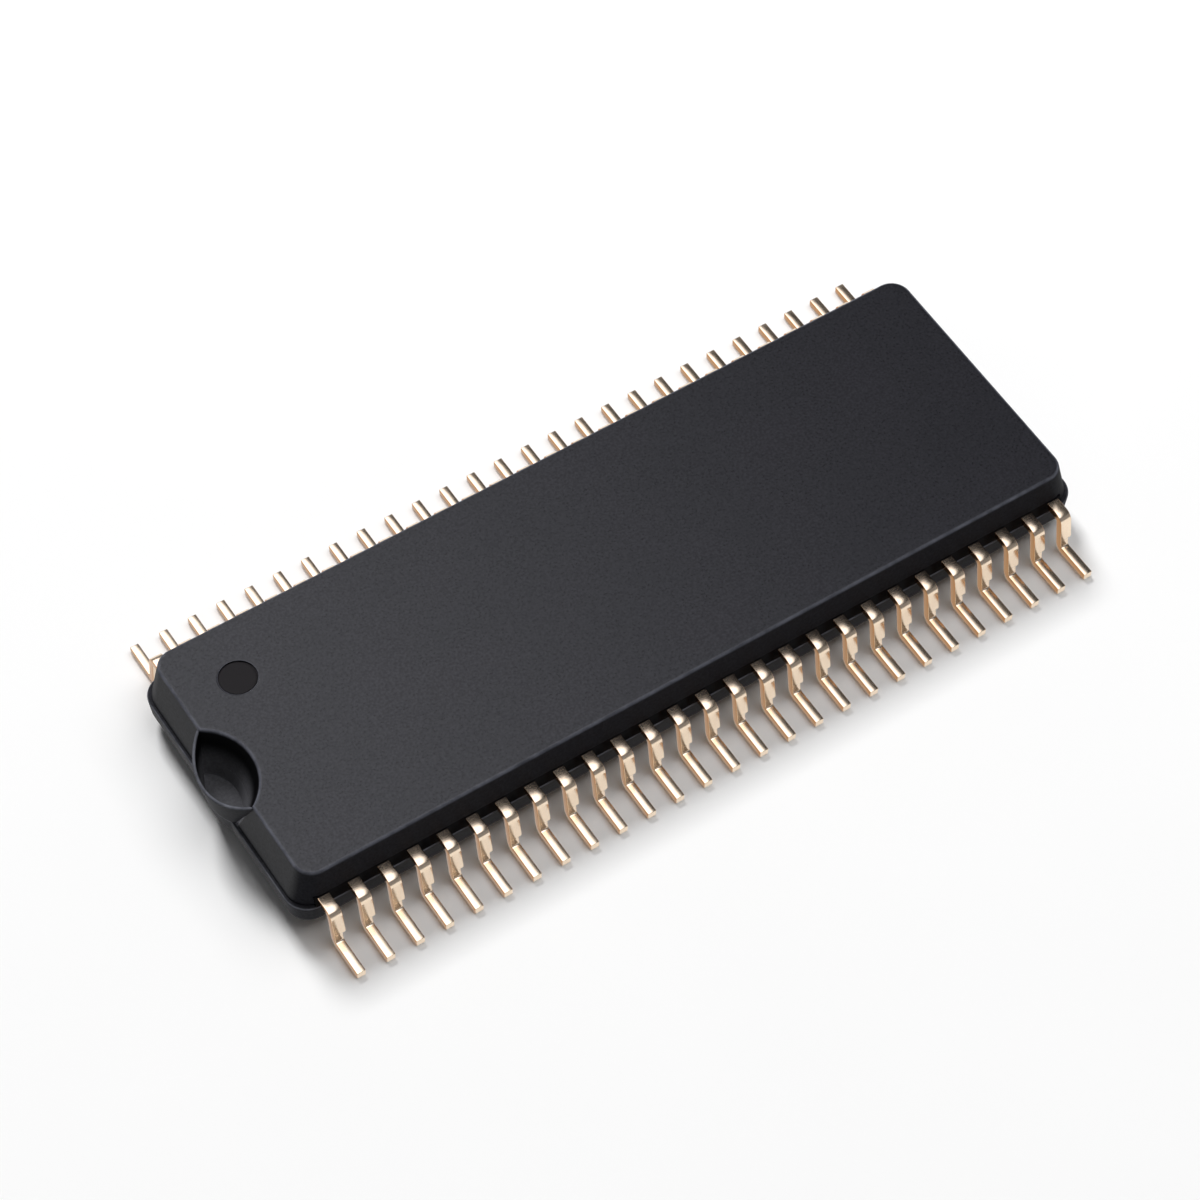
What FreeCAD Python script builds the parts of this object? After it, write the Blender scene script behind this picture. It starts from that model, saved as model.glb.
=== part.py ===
import FreeCAD, Part
import math
import os

import Sketcher

# A glass-sealed ceramic chip package with two rows of gull-wing leads.
# The soles of the feet stand on z = 0, +X runs away from the notched end,
# +Z is up, and the origin is under the middle of the body.

doc = FreeCAD.newDocument("ceramic_chip")
VECTOR = FreeCAD.Vector

# Driving dimensions in millimetres, angles in degrees.
SIZES = {
    # Outside of the body
    "top_length": 21.6,
    "top_width": 7.24,
    "total_height": 2.12,
    "stand_off": 0.38,
    "base_height": 0.60,
    "seal_line": 0.05,
    "side_draft": 5.0,
    "end_draft": 13.5,
    "base_draft": 6.0,
    "cap_corner": 0.50,
    "seam_corner": 0.60,
    "cap_edge": 0.09,
    "base_ledge": 0.09,
    "base_corner": 0.62,
    "base_edge": 0.06,
    "seal_setback": 0.03,
    # Round notch and the lip that closes it at the end of the base
    "notch_radius": 1.50,
    "notch_depth": 0.69,
    "notch_draft": 23.0,
    "lip_reach": 0.65,
    "lip_inner_radius": 1.50,
    "lip_wall": 0.09,
    "lip_outer_draft": 10.0,
    "lip_inner_draft": 9.0,
    "lip_slope": 28.0,
    "lip_gap": 0.02,
    # Round mark beside the first lead
    "mark_x": -9.30,
    "mark_y": 2.04,
    "mark_radius": 0.48,
    "mark_depth": 0.03,
    # Leads
    "leads_per_row": 27,
    "lead_pitch": 0.80,
    "lead_gauge": 0.20,
    "lead_width": 0.32,
    "lead_root": 3.60,
    "leg_face": 4.42,
    "leg_lean": 8.0,
    "bend_radius": 0.26,
    "foot_width": 0.23,
    "foot_tip": 5.40,
    "step_rise": 0.22,
    # Glass seal and the space inside
    "seal_height": 0.25,
    "seal_half_length": 10.64,
    "seal_half_width": 3.68,
    "window_length": 9.80,
    "window_width": 4.70,
    "cap_recess": 0.40,
    "die_pocket_length": 8.40,
    "die_pocket_width": 3.20,
    "die_pocket_depth": 0.30,
    # Inner fingers of the leads
    "finger_width": 0.18,
    "middle_leads": 15,
    "middle_squeeze": 0.72,
    "middle_turn": 3.10,
    "middle_lane_start": 2.50,
    "middle_tip": 1.76,
    "end_turn": 2.75,
    "lane_first": 0.28,
    "lane_pitch": 0.30,
    "end_tip": 4.36,
    # Die and bond wires
    "attach_length": 6.30,
    "attach_width": 2.60,
    "attach_height": 0.03,
    "die_length": 6.00,
    "die_width": 2.30,
    "die_height": 0.25,
    "pad_inset": 0.12,
    "wire_radius": 0.018,
    "wire_loop": 0.20,
    "stitch_inset": 0.14,
}

sheet = doc.addObject("Spreadsheet::Sheet", "sizes")
for row, (alias, value) in enumerate(SIZES.items(), start=1):
    sheet.set("A%d" % row, alias)
    sheet.set("B%d" % row, str(value))
    sheet.setAlias("B%d" % row, alias)
doc.recompute()


def size(alias):
    """Value of one cell of the sheet."""
    return float(sheet.get(alias))


# Levels and lengths that follow from the sheet, as expressions.
BASE_TOP = "(sizes.stand_off + sizes.base_height)"
LEAD_BOTTOM = "(%s + sizes.seal_line)" % BASE_TOP
SEAL_TOP = "(%s + sizes.seal_height)" % LEAD_BOTTOM
CAP_HEIGHT = "(sizes.total_height - %s)" % LEAD_BOTTOM
SEAM_LENGTH = "(sizes.top_length + 2 * %s * tan(sizes.end_draft))" % CAP_HEIGHT
SEAM_WIDTH = "(sizes.top_width + 2 * %s * tan(sizes.side_draft))" % CAP_HEIGHT
NOTCH_X = "(sizes.top_length / 2 + sizes.notch_radius - sizes.notch_depth)"
LIP_X = "(sizes.top_length / 2 + sizes.lip_reach - sizes.lip_inner_radius)"

base_top = size("stand_off") + size("base_height")
lead_bottom = base_top + size("seal_line")
lead_top = lead_bottom + size("lead_gauge")


def origin_plane(body, role):
    """Origin plane of a body, found by its role."""
    return next(f for f in body.Origin.OriginFeatures if f.Role == role)


def add_body(name):
    """Empty body whose label is the name of the piece."""
    body = doc.addObject("PartDesign::Body", name)
    body.Label = name
    return body


def add_sketch(body, name, level="0", role="XY_Plane"):
    """Sketch on an origin plane of the body, moved along the plane's normal."""
    sketch = body.newObject("Sketcher::SketchObject", name)
    sketch.AttachmentSupport = (origin_plane(body, role), [""])
    sketch.MapMode = "FlatFace"
    sketch.setExpression("AttachmentOffset.Base.z", level)
    return sketch


def drive(sketch, constraint, name, expression):
    """Add a named dimension to a sketch and bind it to an expression."""
    index = sketch.addConstraint(constraint)
    sketch.renameConstraint(index, name)
    sketch.setExpression("Constraints." + name, expression)


def sketch_rectangle(sketch, length, width, corner=None):
    """Centred rectangle, with round corners if a corner radius is given."""
    half_l = 2.0
    half_w = 1.0
    cut = 0.25 if corner else 0.0
    ends = [
        (VECTOR(-half_l + cut, -half_w, 0), VECTOR(half_l - cut, -half_w, 0)),
        (VECTOR(half_l, -half_w + cut, 0), VECTOR(half_l, half_w - cut, 0)),
        (VECTOR(half_l - cut, half_w, 0), VECTOR(-half_l + cut, half_w, 0)),
        (VECTOR(-half_l, half_w - cut, 0), VECTOR(-half_l, -half_w + cut, 0)),
    ]
    for start, end in ends:
        sketch.addGeometry(Part.LineSegment(start, end), False)
    sketch.addConstraint(Sketcher.Constraint("Horizontal", 2))
    sketch.addConstraint(Sketcher.Constraint("Vertical", 3))
    if corner:
        centres = [
            VECTOR(half_l - cut, -half_w + cut, 0),
            VECTOR(half_l - cut, half_w - cut, 0),
            VECTOR(-half_l + cut, half_w - cut, 0),
            VECTOR(-half_l + cut, -half_w + cut, 0),
        ]
        for k, centre in enumerate(centres):
            start = (k - 1) * math.pi / 2
            round_corner = Part.Circle(centre, VECTOR(0, 0, 1), cut)
            arc = Part.ArcOfCircle(round_corner, start, start + math.pi / 2)
            sketch.addGeometry(arc, False)
            sketch.addConstraint(Sketcher.Constraint("Tangent", k, 2, 4 + k, 1))
            sketch.addConstraint(Sketcher.Constraint("Tangent", 4 + k, 2, (k + 1) % 4, 1))
        for arc in (5, 6, 7):
            sketch.addConstraint(Sketcher.Constraint("Equal", 4, arc))
    else:
        for k in range(4):
            sketch.addConstraint(Sketcher.Constraint("Coincident", k, 2, (k + 1) % 4, 1))
    sketch.addConstraint(Sketcher.Constraint("Symmetric", 0, 1, 0, 2, -2))
    sketch.addConstraint(Sketcher.Constraint("Symmetric", 1, 1, 1, 2, -1))
    drive(sketch, Sketcher.Constraint("DistanceX", 3, 1, 1, 1, 2 * half_l), "length", length)
    drive(sketch, Sketcher.Constraint("DistanceY", 0, 1, 2, 1, 2 * half_w), "width", width)
    if corner:
        drive(sketch, Sketcher.Constraint("Radius", 4, cut), "corner", corner)


def sketch_circle(sketch, x, y, radius):
    """Circle whose centre is given by two expressions that may be negative."""
    centre = VECTOR(1, 1, 0)
    sketch.addGeometry(Part.Circle(centre, VECTOR(0, 0, 1), 1), False)
    drive(sketch, Sketcher.Constraint("DistanceX", -1, 1, 0, 3, 1), "centre_x", x)
    drive(sketch, Sketcher.Constraint("DistanceY", -1, 1, 0, 3, 1), "centre_y", y)
    drive(sketch, Sketcher.Constraint("Radius", 0, 1), "radius", radius)


def add_pad(body, sketch, name, length, reverse=False, draft=None, middle=False):
    """Pad of a sketch, optionally drafted, downwards or about the sketch plane."""
    pad = body.newObject("PartDesign::Pad", name)
    pad.Profile = sketch
    pad.Reversed = reverse
    pad.Midplane = middle
    pad.setExpression("Length", length)
    if draft:
        pad.setExpression("TaperAngle", draft)
    sketch.Visibility = False
    doc.recompute()
    return pad


def add_loft(body, first, last, name):
    """Straight-sided loft between two outlines."""
    loft = body.newObject("PartDesign::AdditiveLoft", name)
    loft.Profile = first
    loft.Sections = [last]
    loft.Ruled = True
    first.Visibility = False
    last.Visibility = False
    doc.recompute()
    return loft


def add_pocket(body, sketch, name, depth, reverse=False, draft=None):
    """Pocket of a sketch that has to take material away."""
    before = body.Shape.Volume
    pocket = body.newObject("PartDesign::Pocket", name)
    pocket.Profile = sketch
    pocket.Reversed = reverse
    pocket.setExpression("Length", depth)
    if draft:
        pocket.setExpression("TaperAngle", draft)
    sketch.Visibility = False
    doc.recompute()
    if body.Shape.Volume >= before:
        raise ValueError(name + " cuts nothing")
    return pocket


def edges_where(shape, test):
    """Names of the edges whose every vertex and middle point pass the test."""
    names = []
    for number, edge in enumerate(shape.Edges, start=1):
        middle = edge.valueAt((edge.FirstParameter + edge.LastParameter) / 2)
        points = [vertex.Point for vertex in edge.Vertexes] + [middle]
        if all(test(point) for point in points):
            names.append("Edge%d" % number)
    return names


def add_fillet(body, feature, name, radius, test):
    """Fillet of the edges of a feature that pass the test."""
    edges = edges_where(feature.Shape, test)
    if not edges:
        raise ValueError(name + " finds no edge")
    fillet = body.newObject("PartDesign::Fillet", name)
    fillet.Base = (feature, edges)
    fillet.setExpression("Radius", radius)
    doc.recompute()
    return fillet


def add_chamfer(body, feature, name, width, test):
    """Even chamfer of the edges of a feature that pass the test."""
    edges = edges_where(feature.Shape, test)
    if not edges:
        raise ValueError(name + " finds no edge")
    chamfer = body.newObject("PartDesign::Chamfer", name)
    chamfer.Base = (feature, edges)
    chamfer.setExpression("Size", width)
    doc.recompute()
    return chamfer


def at_level(level):
    """Test for points at one height."""
    return lambda point: abs(point.z - level) < 1e-4


def make_base():
    """Lower ceramic shell: drafted slab, die pocket and the lip of the notch."""
    body = add_body("ceramic_base")
    outline = add_sketch(body, "base_outline", BASE_TOP)
    sketch_rectangle(
        outline,
        SEAM_LENGTH + " + 2 * sizes.base_ledge",
        SEAM_WIDTH + " + 2 * sizes.base_ledge",
        "sizes.base_corner",
    )
    slab = add_pad(body, outline, "base_slab", "sizes.base_height", True, "-sizes.base_draft")
    ledge = at_level(base_top)
    broken = add_chamfer(body, slab, "ledge_edge", "sizes.base_edge / 2", ledge)
    bottom = at_level(size("stand_off"))
    add_chamfer(body, broken, "bottom_edge", "sizes.base_edge", bottom)

    height = "(sizes.total_height - sizes.stand_off)"
    drum = add_sketch(body, "lip_outline", "sizes.total_height")
    sketch_circle(drum, "-" + LIP_X, "0", "sizes.lip_inner_radius + sizes.lip_wall")
    add_pad(body, drum, "lip_drum", height, True, "-sizes.lip_outer_draft")
    # The drum is cleared inside the outline of the cap, parallel to its end wall.
    room = add_sketch(body, "cap_outline", "sizes.total_height")
    sketch_rectangle(
        room,
        "sizes.top_length + 2 * sizes.lip_gap",
        "sizes.top_width + 2 * sizes.lip_gap",
        "sizes.cap_corner",
    )
    above_base = "(sizes.total_height - %s)" % BASE_TOP
    add_pocket(body, room, "cap_room", above_base, draft="sizes.end_draft")
    cup = add_sketch(body, "cup_outline", "sizes.total_height")
    sketch_circle(cup, "-" + LIP_X, "0", "sizes.lip_inner_radius")
    add_pocket(body, cup, "notch_cup", above_base, draft="-sizes.lip_inner_draft")

    # Above the lip a wedge is taken off, so that the rim slopes down outwards.
    wedge = add_sketch(body, "rim_wedge", "0", "XZ_Plane")
    corners = [VECTOR(-1, 2, 0), VECTOR(-3, 2, 0), VECTOR(-3, 1, 0)]
    for start, end in zip(corners, corners[1:] + corners[:1]):
        wedge.addGeometry(Part.LineSegment(start, end), False)
    for k in range(3):
        wedge.addConstraint(Sketcher.Constraint("Coincident", k, 2, (k + 1) % 3, 1))
    wedge.addConstraint(Sketcher.Constraint("Horizontal", 0))
    wedge.addConstraint(Sketcher.Constraint("Vertical", 1))
    wedge_from = "-sizes.top_length / 2"
    drive(wedge, Sketcher.Constraint("DistanceX", -1, 1, 0, 1, -1), "start", wedge_from)
    drive(wedge, Sketcher.Constraint("DistanceY", -1, 1, 0, 1, 2), "level", "sizes.total_height")
    drive(wedge, Sketcher.Constraint("DistanceX", 0, 2, 0, 1, 2), "reach", "2 * sizes.lip_reach")
    fall = "2 * sizes.lip_reach * tan(sizes.lip_slope)"
    drive(wedge, Sketcher.Constraint("DistanceY", 1, 2, 1, 1, 1), "fall", fall)
    rim = add_pocket(body, wedge, "rim_slope", "4 * sizes.lip_inner_radius")
    rim.Midplane = True
    doc.recompute()

    pocket = add_sketch(body, "die_pocket_outline", BASE_TOP)
    sketch_rectangle(pocket, "sizes.die_pocket_length", "sizes.die_pocket_width")
    add_pocket(body, pocket, "die_pocket", "sizes.die_pocket_depth")
    return body


def make_cap():
    """Upper ceramic shell: drafted block, seal channel, recess, notch and mark."""
    body = add_body("ceramic_cap")
    outline = add_sketch(body, "top_outline", "sizes.total_height")
    sketch_rectangle(outline, "sizes.top_length", "sizes.top_width", "sizes.cap_corner")
    seam = add_sketch(body, "seam_outline", LEAD_BOTTOM)
    sketch_rectangle(seam, SEAM_LENGTH, SEAM_WIDTH, "sizes.seam_corner")
    add_loft(body, outline, seam, "cap_block")

    notch = add_sketch(body, "notch_outline", "sizes.total_height")
    sketch_circle(notch, "-" + NOTCH_X, "0", "sizes.notch_radius")
    add_pocket(body, notch, "end_notch", "2 * " + CAP_HEIGHT, draft="-sizes.notch_draft")
    top = at_level(size("total_height"))
    add_fillet(body, body.Tip, "top_round", "sizes.cap_edge", top)

    channel = add_sketch(body, "channel_outline", LEAD_BOTTOM)
    sketch_rectangle(channel, "2 * sizes.seal_half_length", "2 * sizes.top_width")
    add_pocket(body, channel, "seal_channel", "sizes.seal_height", True)
    recess = add_sketch(body, "recess_outline", SEAL_TOP)
    sketch_rectangle(recess, "sizes.window_length", "sizes.window_width")
    add_pocket(body, recess, "inner_recess", "sizes.cap_recess", True)
    mark = add_sketch(body, "mark_outline", "sizes.total_height")
    sketch_circle(mark, "sizes.mark_x", "sizes.mark_y", "sizes.mark_radius")
    add_pocket(body, mark, "first_lead_mark", "sizes.mark_depth")
    return body


def make_formed_strip():
    """Outer part of one lead: shoulder, bend, leg, bend and foot with its step."""
    body = add_body("formed_strip")
    side = add_sketch(body, "strip_side", "0", "YZ_Plane")
    root = size("lead_root")
    face = size("leg_face")
    gauge = size("lead_gauge")
    tip = size("foot_tip")
    bend = size("bend_radius")
    lean = math.radians(size("leg_lean"))
    up = VECTOR(-math.sin(lean), math.cos(lean), 0)
    out = VECTOR(math.cos(lean), math.sin(lean), 0)
    crook = VECTOR(face, gauge, 0)
    knee = crook + up * ((lead_top - bend + bend * out.y - gauge) / up.y)
    shoulder = knee - out * bend
    inside = crook - out * gauge
    ankle = inside + up * ((bend - bend * out.y - inside.y) / up.y)
    heel = ankle + out * bend
    armpit = inside + up * ((lead_bottom - inside.y) / up.y)
    lines = [
        (VECTOR(root, lead_bottom, 0), VECTOR(root, lead_top, 0)),
        (VECTOR(root, lead_top, 0), VECTOR(shoulder.x, lead_top, 0)),
        (knee, crook),
        (crook, VECTOR(tip, gauge, 0)),
        (VECTOR(tip, gauge, 0), VECTOR(tip, 0, 0)),
        (VECTOR(tip, 0, 0), VECTOR(heel.x, 0, 0)),
        (ankle, armpit),
        (armpit, VECTOR(root, lead_bottom, 0)),
    ]
    for start, end in lines:
        side.addGeometry(Part.LineSegment(start, end), False)
    for centre, start in ((shoulder, 0), (heel, math.pi)):
        circle = Part.Circle(centre, VECTOR(0, 0, 1), bend)
        side.addGeometry(Part.ArcOfCircle(circle, start + lean, start + math.pi / 2), False)
    for line in (0, 4):
        side.addConstraint(Sketcher.Constraint("Vertical", line))
    side.addConstraint(Sketcher.Constraint("Parallel", 2, 6))
    for line in (1, 3, 5, 7):
        side.addConstraint(Sketcher.Constraint("Horizontal", line))
    for first, second in ((0, 1), (2, 3), (3, 4), (4, 5), (6, 7), (7, 0)):
        side.addConstraint(Sketcher.Constraint("Coincident", first, 2, second, 1))
    tangents = [(1, 2, 8, 2), (8, 1, 2, 1), (5, 2, 9, 2), (9, 1, 6, 1)]
    for first, end, second, start in tangents:
        side.addConstraint(Sketcher.Constraint("Tangent", first, end, second, start))
    side.addConstraint(Sketcher.Constraint("Equal", 0, 4))
    side.addConstraint(Sketcher.Constraint("Equal", 8, 9))
    side.addConstraint(Sketcher.Constraint("PointOnObject", 4, 2, -1))
    drive(side, Sketcher.Constraint("DistanceX", -1, 1, 0, 1, root), "root", "sizes.lead_root")
    drive(side, Sketcher.Constraint("DistanceY", -1, 1, 0, 1, 1), "level", LEAD_BOTTOM)
    drive(side, Sketcher.Constraint("DistanceY", 0, 1, 0, 2, gauge), "gauge", "sizes.lead_gauge")
    drive(side, Sketcher.Constraint("Distance", 6, 1, 2, gauge), "leg", "sizes.lead_gauge")
    steep = lean - math.pi / 2
    drive(side, Sketcher.Constraint("Angle", 2, steep), "lean", "sizes.leg_lean - 90")
    drive(side, Sketcher.Constraint("DistanceX", -1, 1, 2, 2, face), "face", "sizes.leg_face")
    drive(side, Sketcher.Constraint("DistanceX", -1, 1, 4, 1, tip), "tip", "sizes.foot_tip")
    drive(side, Sketcher.Constraint("Radius", 8, bend), "bend", "sizes.bend_radius")
    add_pad(body, side, "strip", "sizes.lead_width", middle=True)

    # The foot is stepped in on its +X side, from just above its bend.
    step = add_sketch(body, "step_outline", "sizes.lead_width / 2", "YZ_Plane")
    low = VECTOR(3, -1, 0)
    high = VECTOR(6, 1, 0)
    corners = [low, VECTOR(high.x, low.y, 0), high, VECTOR(low.x, high.y, 0)]
    for start, end in zip(corners, corners[1:] + corners[:1]):
        step.addGeometry(Part.LineSegment(start, end), False)
    for k in range(4):
        step.addConstraint(Sketcher.Constraint("Coincident", k, 2, (k + 1) % 4, 1))
        kind = "Horizontal" if k % 2 == 0 else "Vertical"
        step.addConstraint(Sketcher.Constraint(kind, k))
    drive(step, Sketcher.Constraint("DistanceX", -1, 1, 0, 1, 3), "inside", "sizes.lead_root")
    drive(step, Sketcher.Constraint("DistanceX", -1, 1, 0, 2, 6), "outside", "sizes.foot_tip + 1")
    drive(step, Sketcher.Constraint("DistanceY", 0, 2, -1, 1, 1), "below", "sizes.lead_gauge")
    step_level = "sizes.lead_gauge + sizes.step_rise"
    drive(step, Sketcher.Constraint("DistanceY", -1, 1, 1, 2, 1), "above", step_level)
    add_pocket(body, step, "foot_step", "sizes.lead_width - sizes.foot_width")
    return body


def finger_path(slot):
    """Middle line of an inner finger of the back row, from its tip outwards.

    The middle leads squeeze together towards the long side of the die pocket.
    The others turn into lanes that run to the pocket's short ends, the
    outermost lead in the lane nearest to the middle line of the package.
    """
    x = slot * size("lead_pitch")
    root = size("lead_root")
    if abs(slot) <= size("middle_leads") // 2:
        inner = x * size("middle_squeeze")
        return [
            (inner, size("middle_tip")),
            (inner, size("middle_lane_start")),
            (x, size("middle_turn")),
            (x, root),
        ]
    side = math.copysign(1, slot)
    outermost = size("leads_per_row") // 2
    lane = size("lane_first") + (outermost - abs(slot)) * size("lane_pitch")
    turn = size("end_turn")
    return [
        (side * size("end_tip"), lane),
        (x - side * (turn - lane), lane),
        (x, turn),
        (x, root),
    ]


def strip_outline(path):
    """Closed outline of a finger: even width, widening to the lead at its root."""
    half = size("finger_width") / 2
    wide = size("lead_width") / 2
    middle = [VECTOR(x, y, 0) for x, y in path]
    left = []
    right = []
    for k, point in enumerate(middle[:-1]):
        ahead = (middle[k + 1] - point).normalize()
        behind = (point - middle[k - 1]).normalize() if k else ahead
        across = (VECTOR(-ahead.y, ahead.x, 0) + VECTOR(-behind.y, behind.x, 0)).normalize()
        reach = half / (across.x * -ahead.y + across.y * ahead.x)
        left.append(point + across * reach)
        right.append(point - across * reach)
    left.append(middle[-1] + VECTOR(-wide, 0, 0))
    right.append(middle[-1] + VECTOR(wide, 0, 0))
    return left + right[::-1]


def make_lead(number, slot, row, strip):
    """One lead: its fan-in finger under the cap and its formed outer part."""
    name = "lead_%02d" % number
    outline = doc.addObject("Part::Polygon", name + "_outline")
    outline.Nodes = [VECTOR(p.x, row * p.y, lead_bottom) for p in strip_outline(finger_path(slot))]
    outline.Close = True
    finger = doc.addObject("Part::Extrusion", name + "_finger")
    finger.Base = outline
    finger.DirMode = "Custom"
    finger.Dir = VECTOR(0, 0, 1)
    finger.Solid = True
    finger.setExpression("LengthFwd", "sizes.lead_gauge")
    outer = doc.addObject("App::Link", name + "_outer")
    outer.LinkedObject = strip
    outer.setExpression("Placement.Base.x", "%d * sizes.lead_pitch" % slot)
    lead = doc.addObject("Part::Fuse", name)
    lead.Label = name
    lead.Base = finger
    lead.Tool = outer
    lead.Refine = True
    return lead


def make_leads():
    """Both rows, numbered round the body from the marked corner."""
    strip = make_formed_strip()
    mirrored = doc.addObject("Part::Mirroring", "formed_strip_front")
    mirrored.Source = strip
    mirrored.Normal = VECTOR(0, 1, 0)
    half = int(size("leads_per_row")) // 2
    leads = []
    for slot in range(-half, half + 1):
        leads.append(make_lead(len(leads) + 1, slot, 1, strip))
    for slot in range(half, -half - 1, -1):
        leads.append(make_lead(len(leads) + 1, slot, -1, mirrored))
    doc.recompute()
    return leads


def make_seal(leads):
    """Glass seal: a thin sheet, a thick land in the cap's channel, cut by the leads."""
    body = add_body("seal_preform")
    sheet_outline = add_sketch(body, "sheet_outline", BASE_TOP)
    sketch_rectangle(
        sheet_outline,
        SEAM_LENGTH + " - 2 * sizes.seal_setback",
        SEAM_WIDTH + " - 2 * sizes.seal_setback",
        "sizes.seam_corner",
    )
    add_pad(body, sheet_outline, "sheet", "sizes.seal_line")
    land = add_sketch(body, "land_outline", LEAD_BOTTOM)
    sketch_rectangle(land, "2 * sizes.seal_half_length", "2 * sizes.seal_half_width")
    add_pad(body, land, "land", "sizes.seal_height")
    window = add_sketch(body, "window_outline", SEAL_TOP)
    sketch_rectangle(window, "sizes.window_length", "sizes.window_width")
    add_pocket(body, window, "window", "sizes.seal_height")
    opening = add_sketch(body, "opening_outline", LEAD_BOTTOM)
    sketch_rectangle(opening, "sizes.die_pocket_length", "sizes.die_pocket_width")
    add_pocket(body, opening, "opening", "sizes.seal_line")
    notch = add_sketch(body, "seal_notch_outline", "sizes.total_height")
    sketch_circle(notch, "-" + NOTCH_X, "0", "sizes.notch_radius")
    add_pocket(body, notch, "seal_notch", "2 * " + CAP_HEIGHT, draft="-sizes.notch_draft")

    frame = doc.addObject("Part::Compound", "lead_frame")
    frame.Links = leads
    seal = doc.addObject("Part::Cut", "seal_glass")
    seal.Label = "seal_glass"
    seal.Base = body
    seal.Tool = frame
    seal.Refine = True
    doc.recompute()
    return seal


def add_plate(name, length, width, height, level):
    """Flat rectangular plate centred on the package."""
    plate = doc.addObject("Part::Box", name)
    plate.Label = name
    plate.setExpression("Length", length)
    plate.setExpression("Width", width)
    plate.setExpression("Height", height)
    plate.setExpression("Placement.Base.x", "-%s / 2" % length)
    plate.setExpression("Placement.Base.y", "-%s / 2" % width)
    plate.setExpression("Placement.Base.z", level)
    return plate


def wire_points(slot, row):
    """Stations of one bond wire: pad, top of the rise, and stitch on the finger."""
    tip_x, tip_y = finger_path(slot)[0]
    inset = size("stitch_inset")
    pad_x = size("die_length") / 2 - size("pad_inset")
    pad_y = size("die_width") / 2 - size("pad_inset")
    middle_reach = (size("middle_leads") // 2) * size("lead_pitch") * size("middle_squeeze")
    lanes = size("leads_per_row") // 2 - size("middle_leads") // 2
    if abs(slot) <= size("middle_leads") // 2:
        stitch = VECTOR(tip_x, tip_y + inset, lead_top)
        room = pad_x - 2 * size("pad_inset")
        pad = VECTOR(tip_x * room / middle_reach, pad_y, 0)
    else:
        side = math.copysign(1, slot)
        stitch = VECTOR(tip_x + side * inset, tip_y, lead_top)
        highest = size("lane_first") + (lanes - 1) * size("lane_pitch")
        room = pad_y - 2 * size("pad_inset")
        pad = VECTOR(side * pad_x, tip_y * room / highest, 0)
    pad.z = die_top
    crest = VECTOR(pad.x, pad.y, lead_top + size("wire_loop"))
    points = [pad, crest, stitch]
    return [VECTOR(p.x, row * p.y, p.z) for p in points]


def make_wire(slot, row):
    """One bond wire: up from the pad, over, and down to the finger."""
    pad, crest, stitch = wire_points(slot, row)
    radius = size("wire_radius")
    run = VECTOR(stitch.x - pad.x, stitch.y - pad.y, 0).normalize()
    across = VECTOR(-run.y, run.x, 0)
    down = (stitch - crest).normalize()
    mitre = (down - VECTOR(0, 0, 1)).normalize()
    sections = [
        (pad, run, 1.0),
        (crest, mitre, 1 / mitre.dot(run)),
        (stitch, run, 1 / down.z),
    ]
    outlines = []
    for centre, lean, stretch in sections:
        corners = []
        for k in range(WIRE_SIDES):
            angle = k * 2 * math.pi / WIRE_SIDES
            side = across * (radius * math.sin(angle))
            rise = lean * (radius * stretch * math.cos(angle))
            corners.append(centre + side + rise)
        outlines.append(corners)
    faces = [Part.Face(Part.makePolygon(ends + ends[:1])) for ends in (outlines[0], outlines[-1])]
    for lower, upper in zip(outlines, outlines[1:]):
        for k in range(WIRE_SIDES):
            after = (k + 1) % WIRE_SIDES
            quad = [lower[k], lower[after], upper[after], upper[k], lower[k]]
            faces.append(Part.Face(Part.makePolygon(quad)))
    solid = Part.Solid(Part.Shell(faces))
    if solid.Volume < 0:
        solid.reverse()
    return solid


def make_wires():
    """All bond wires as separate solids of one piece group."""
    half = int(size("leads_per_row")) // 2
    wires = doc.addObject("Part::Feature", "bond_wires")
    wires.Label = "bond_wires"
    solids = [make_wire(slot, row) for row in (1, -1) for slot in range(-half, half + 1)]
    wires.Shape = Part.makeCompound(solids)
    wires.Placement = FreeCAD.Placement()
    return wires


WIRE_SIDES = 5
ATTACH_LEVEL = "%s - sizes.die_pocket_depth" % BASE_TOP
DIE_LEVEL = ATTACH_LEVEL + " + sizes.attach_height"
attach_bottom = base_top - size("die_pocket_depth")
die_top = attach_bottom + size("attach_height") + size("die_height")

pieces = [make_base(), make_cap()]
pieces.append(
    add_plate(
        "die_attach",
        "sizes.attach_length",
        "sizes.attach_width",
        "sizes.attach_height",
        ATTACH_LEVEL,
    )
)
pieces.append(
    add_plate("silicon_die", "sizes.die_length", "sizes.die_width", "sizes.die_height", DIE_LEVEL)
)
leads = make_leads()
pieces += leads
pieces.append(make_seal(leads))
pieces.append(make_wires())
doc.recompute()

for item in doc.Objects:
    if "Invalid" in item.State or "Error" in item.State:
        raise ValueError("%s is %s" % (item.Label, item.State))
for piece in pieces:
    if piece.Shape.isNull() or not piece.Shape.isValid():
        raise ValueError(piece.Label + " has no valid shape")

os.makedirs("parts", exist_ok=True)
for piece in pieces:
    piece.Shape.exportStep("parts/%s.step" % piece.Label)
    if not piece.Label.startswith("lead_") or piece.Label == "lead_01":
        box = piece.Shape.BoundBox
        low = "%.3f %.3f %.3f" % (box.XMin, box.YMin, box.ZMin)
        high = "%.3f %.3f %.3f" % (box.XMax, box.YMax, box.ZMax)
        print(piece.Label, "solids", len(piece.Shape.Solids), low, high)
print("pieces", len(pieces))
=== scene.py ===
"""Looks of a ceramic dual in-line chip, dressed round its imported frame.

Sizes in the dataclasses are in millimetres and degrees. MM turns them into metres.
"""
import logging
import math
from collections.abc import Iterable, Sequence
from dataclasses import dataclass, field
from enum import Enum

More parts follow.
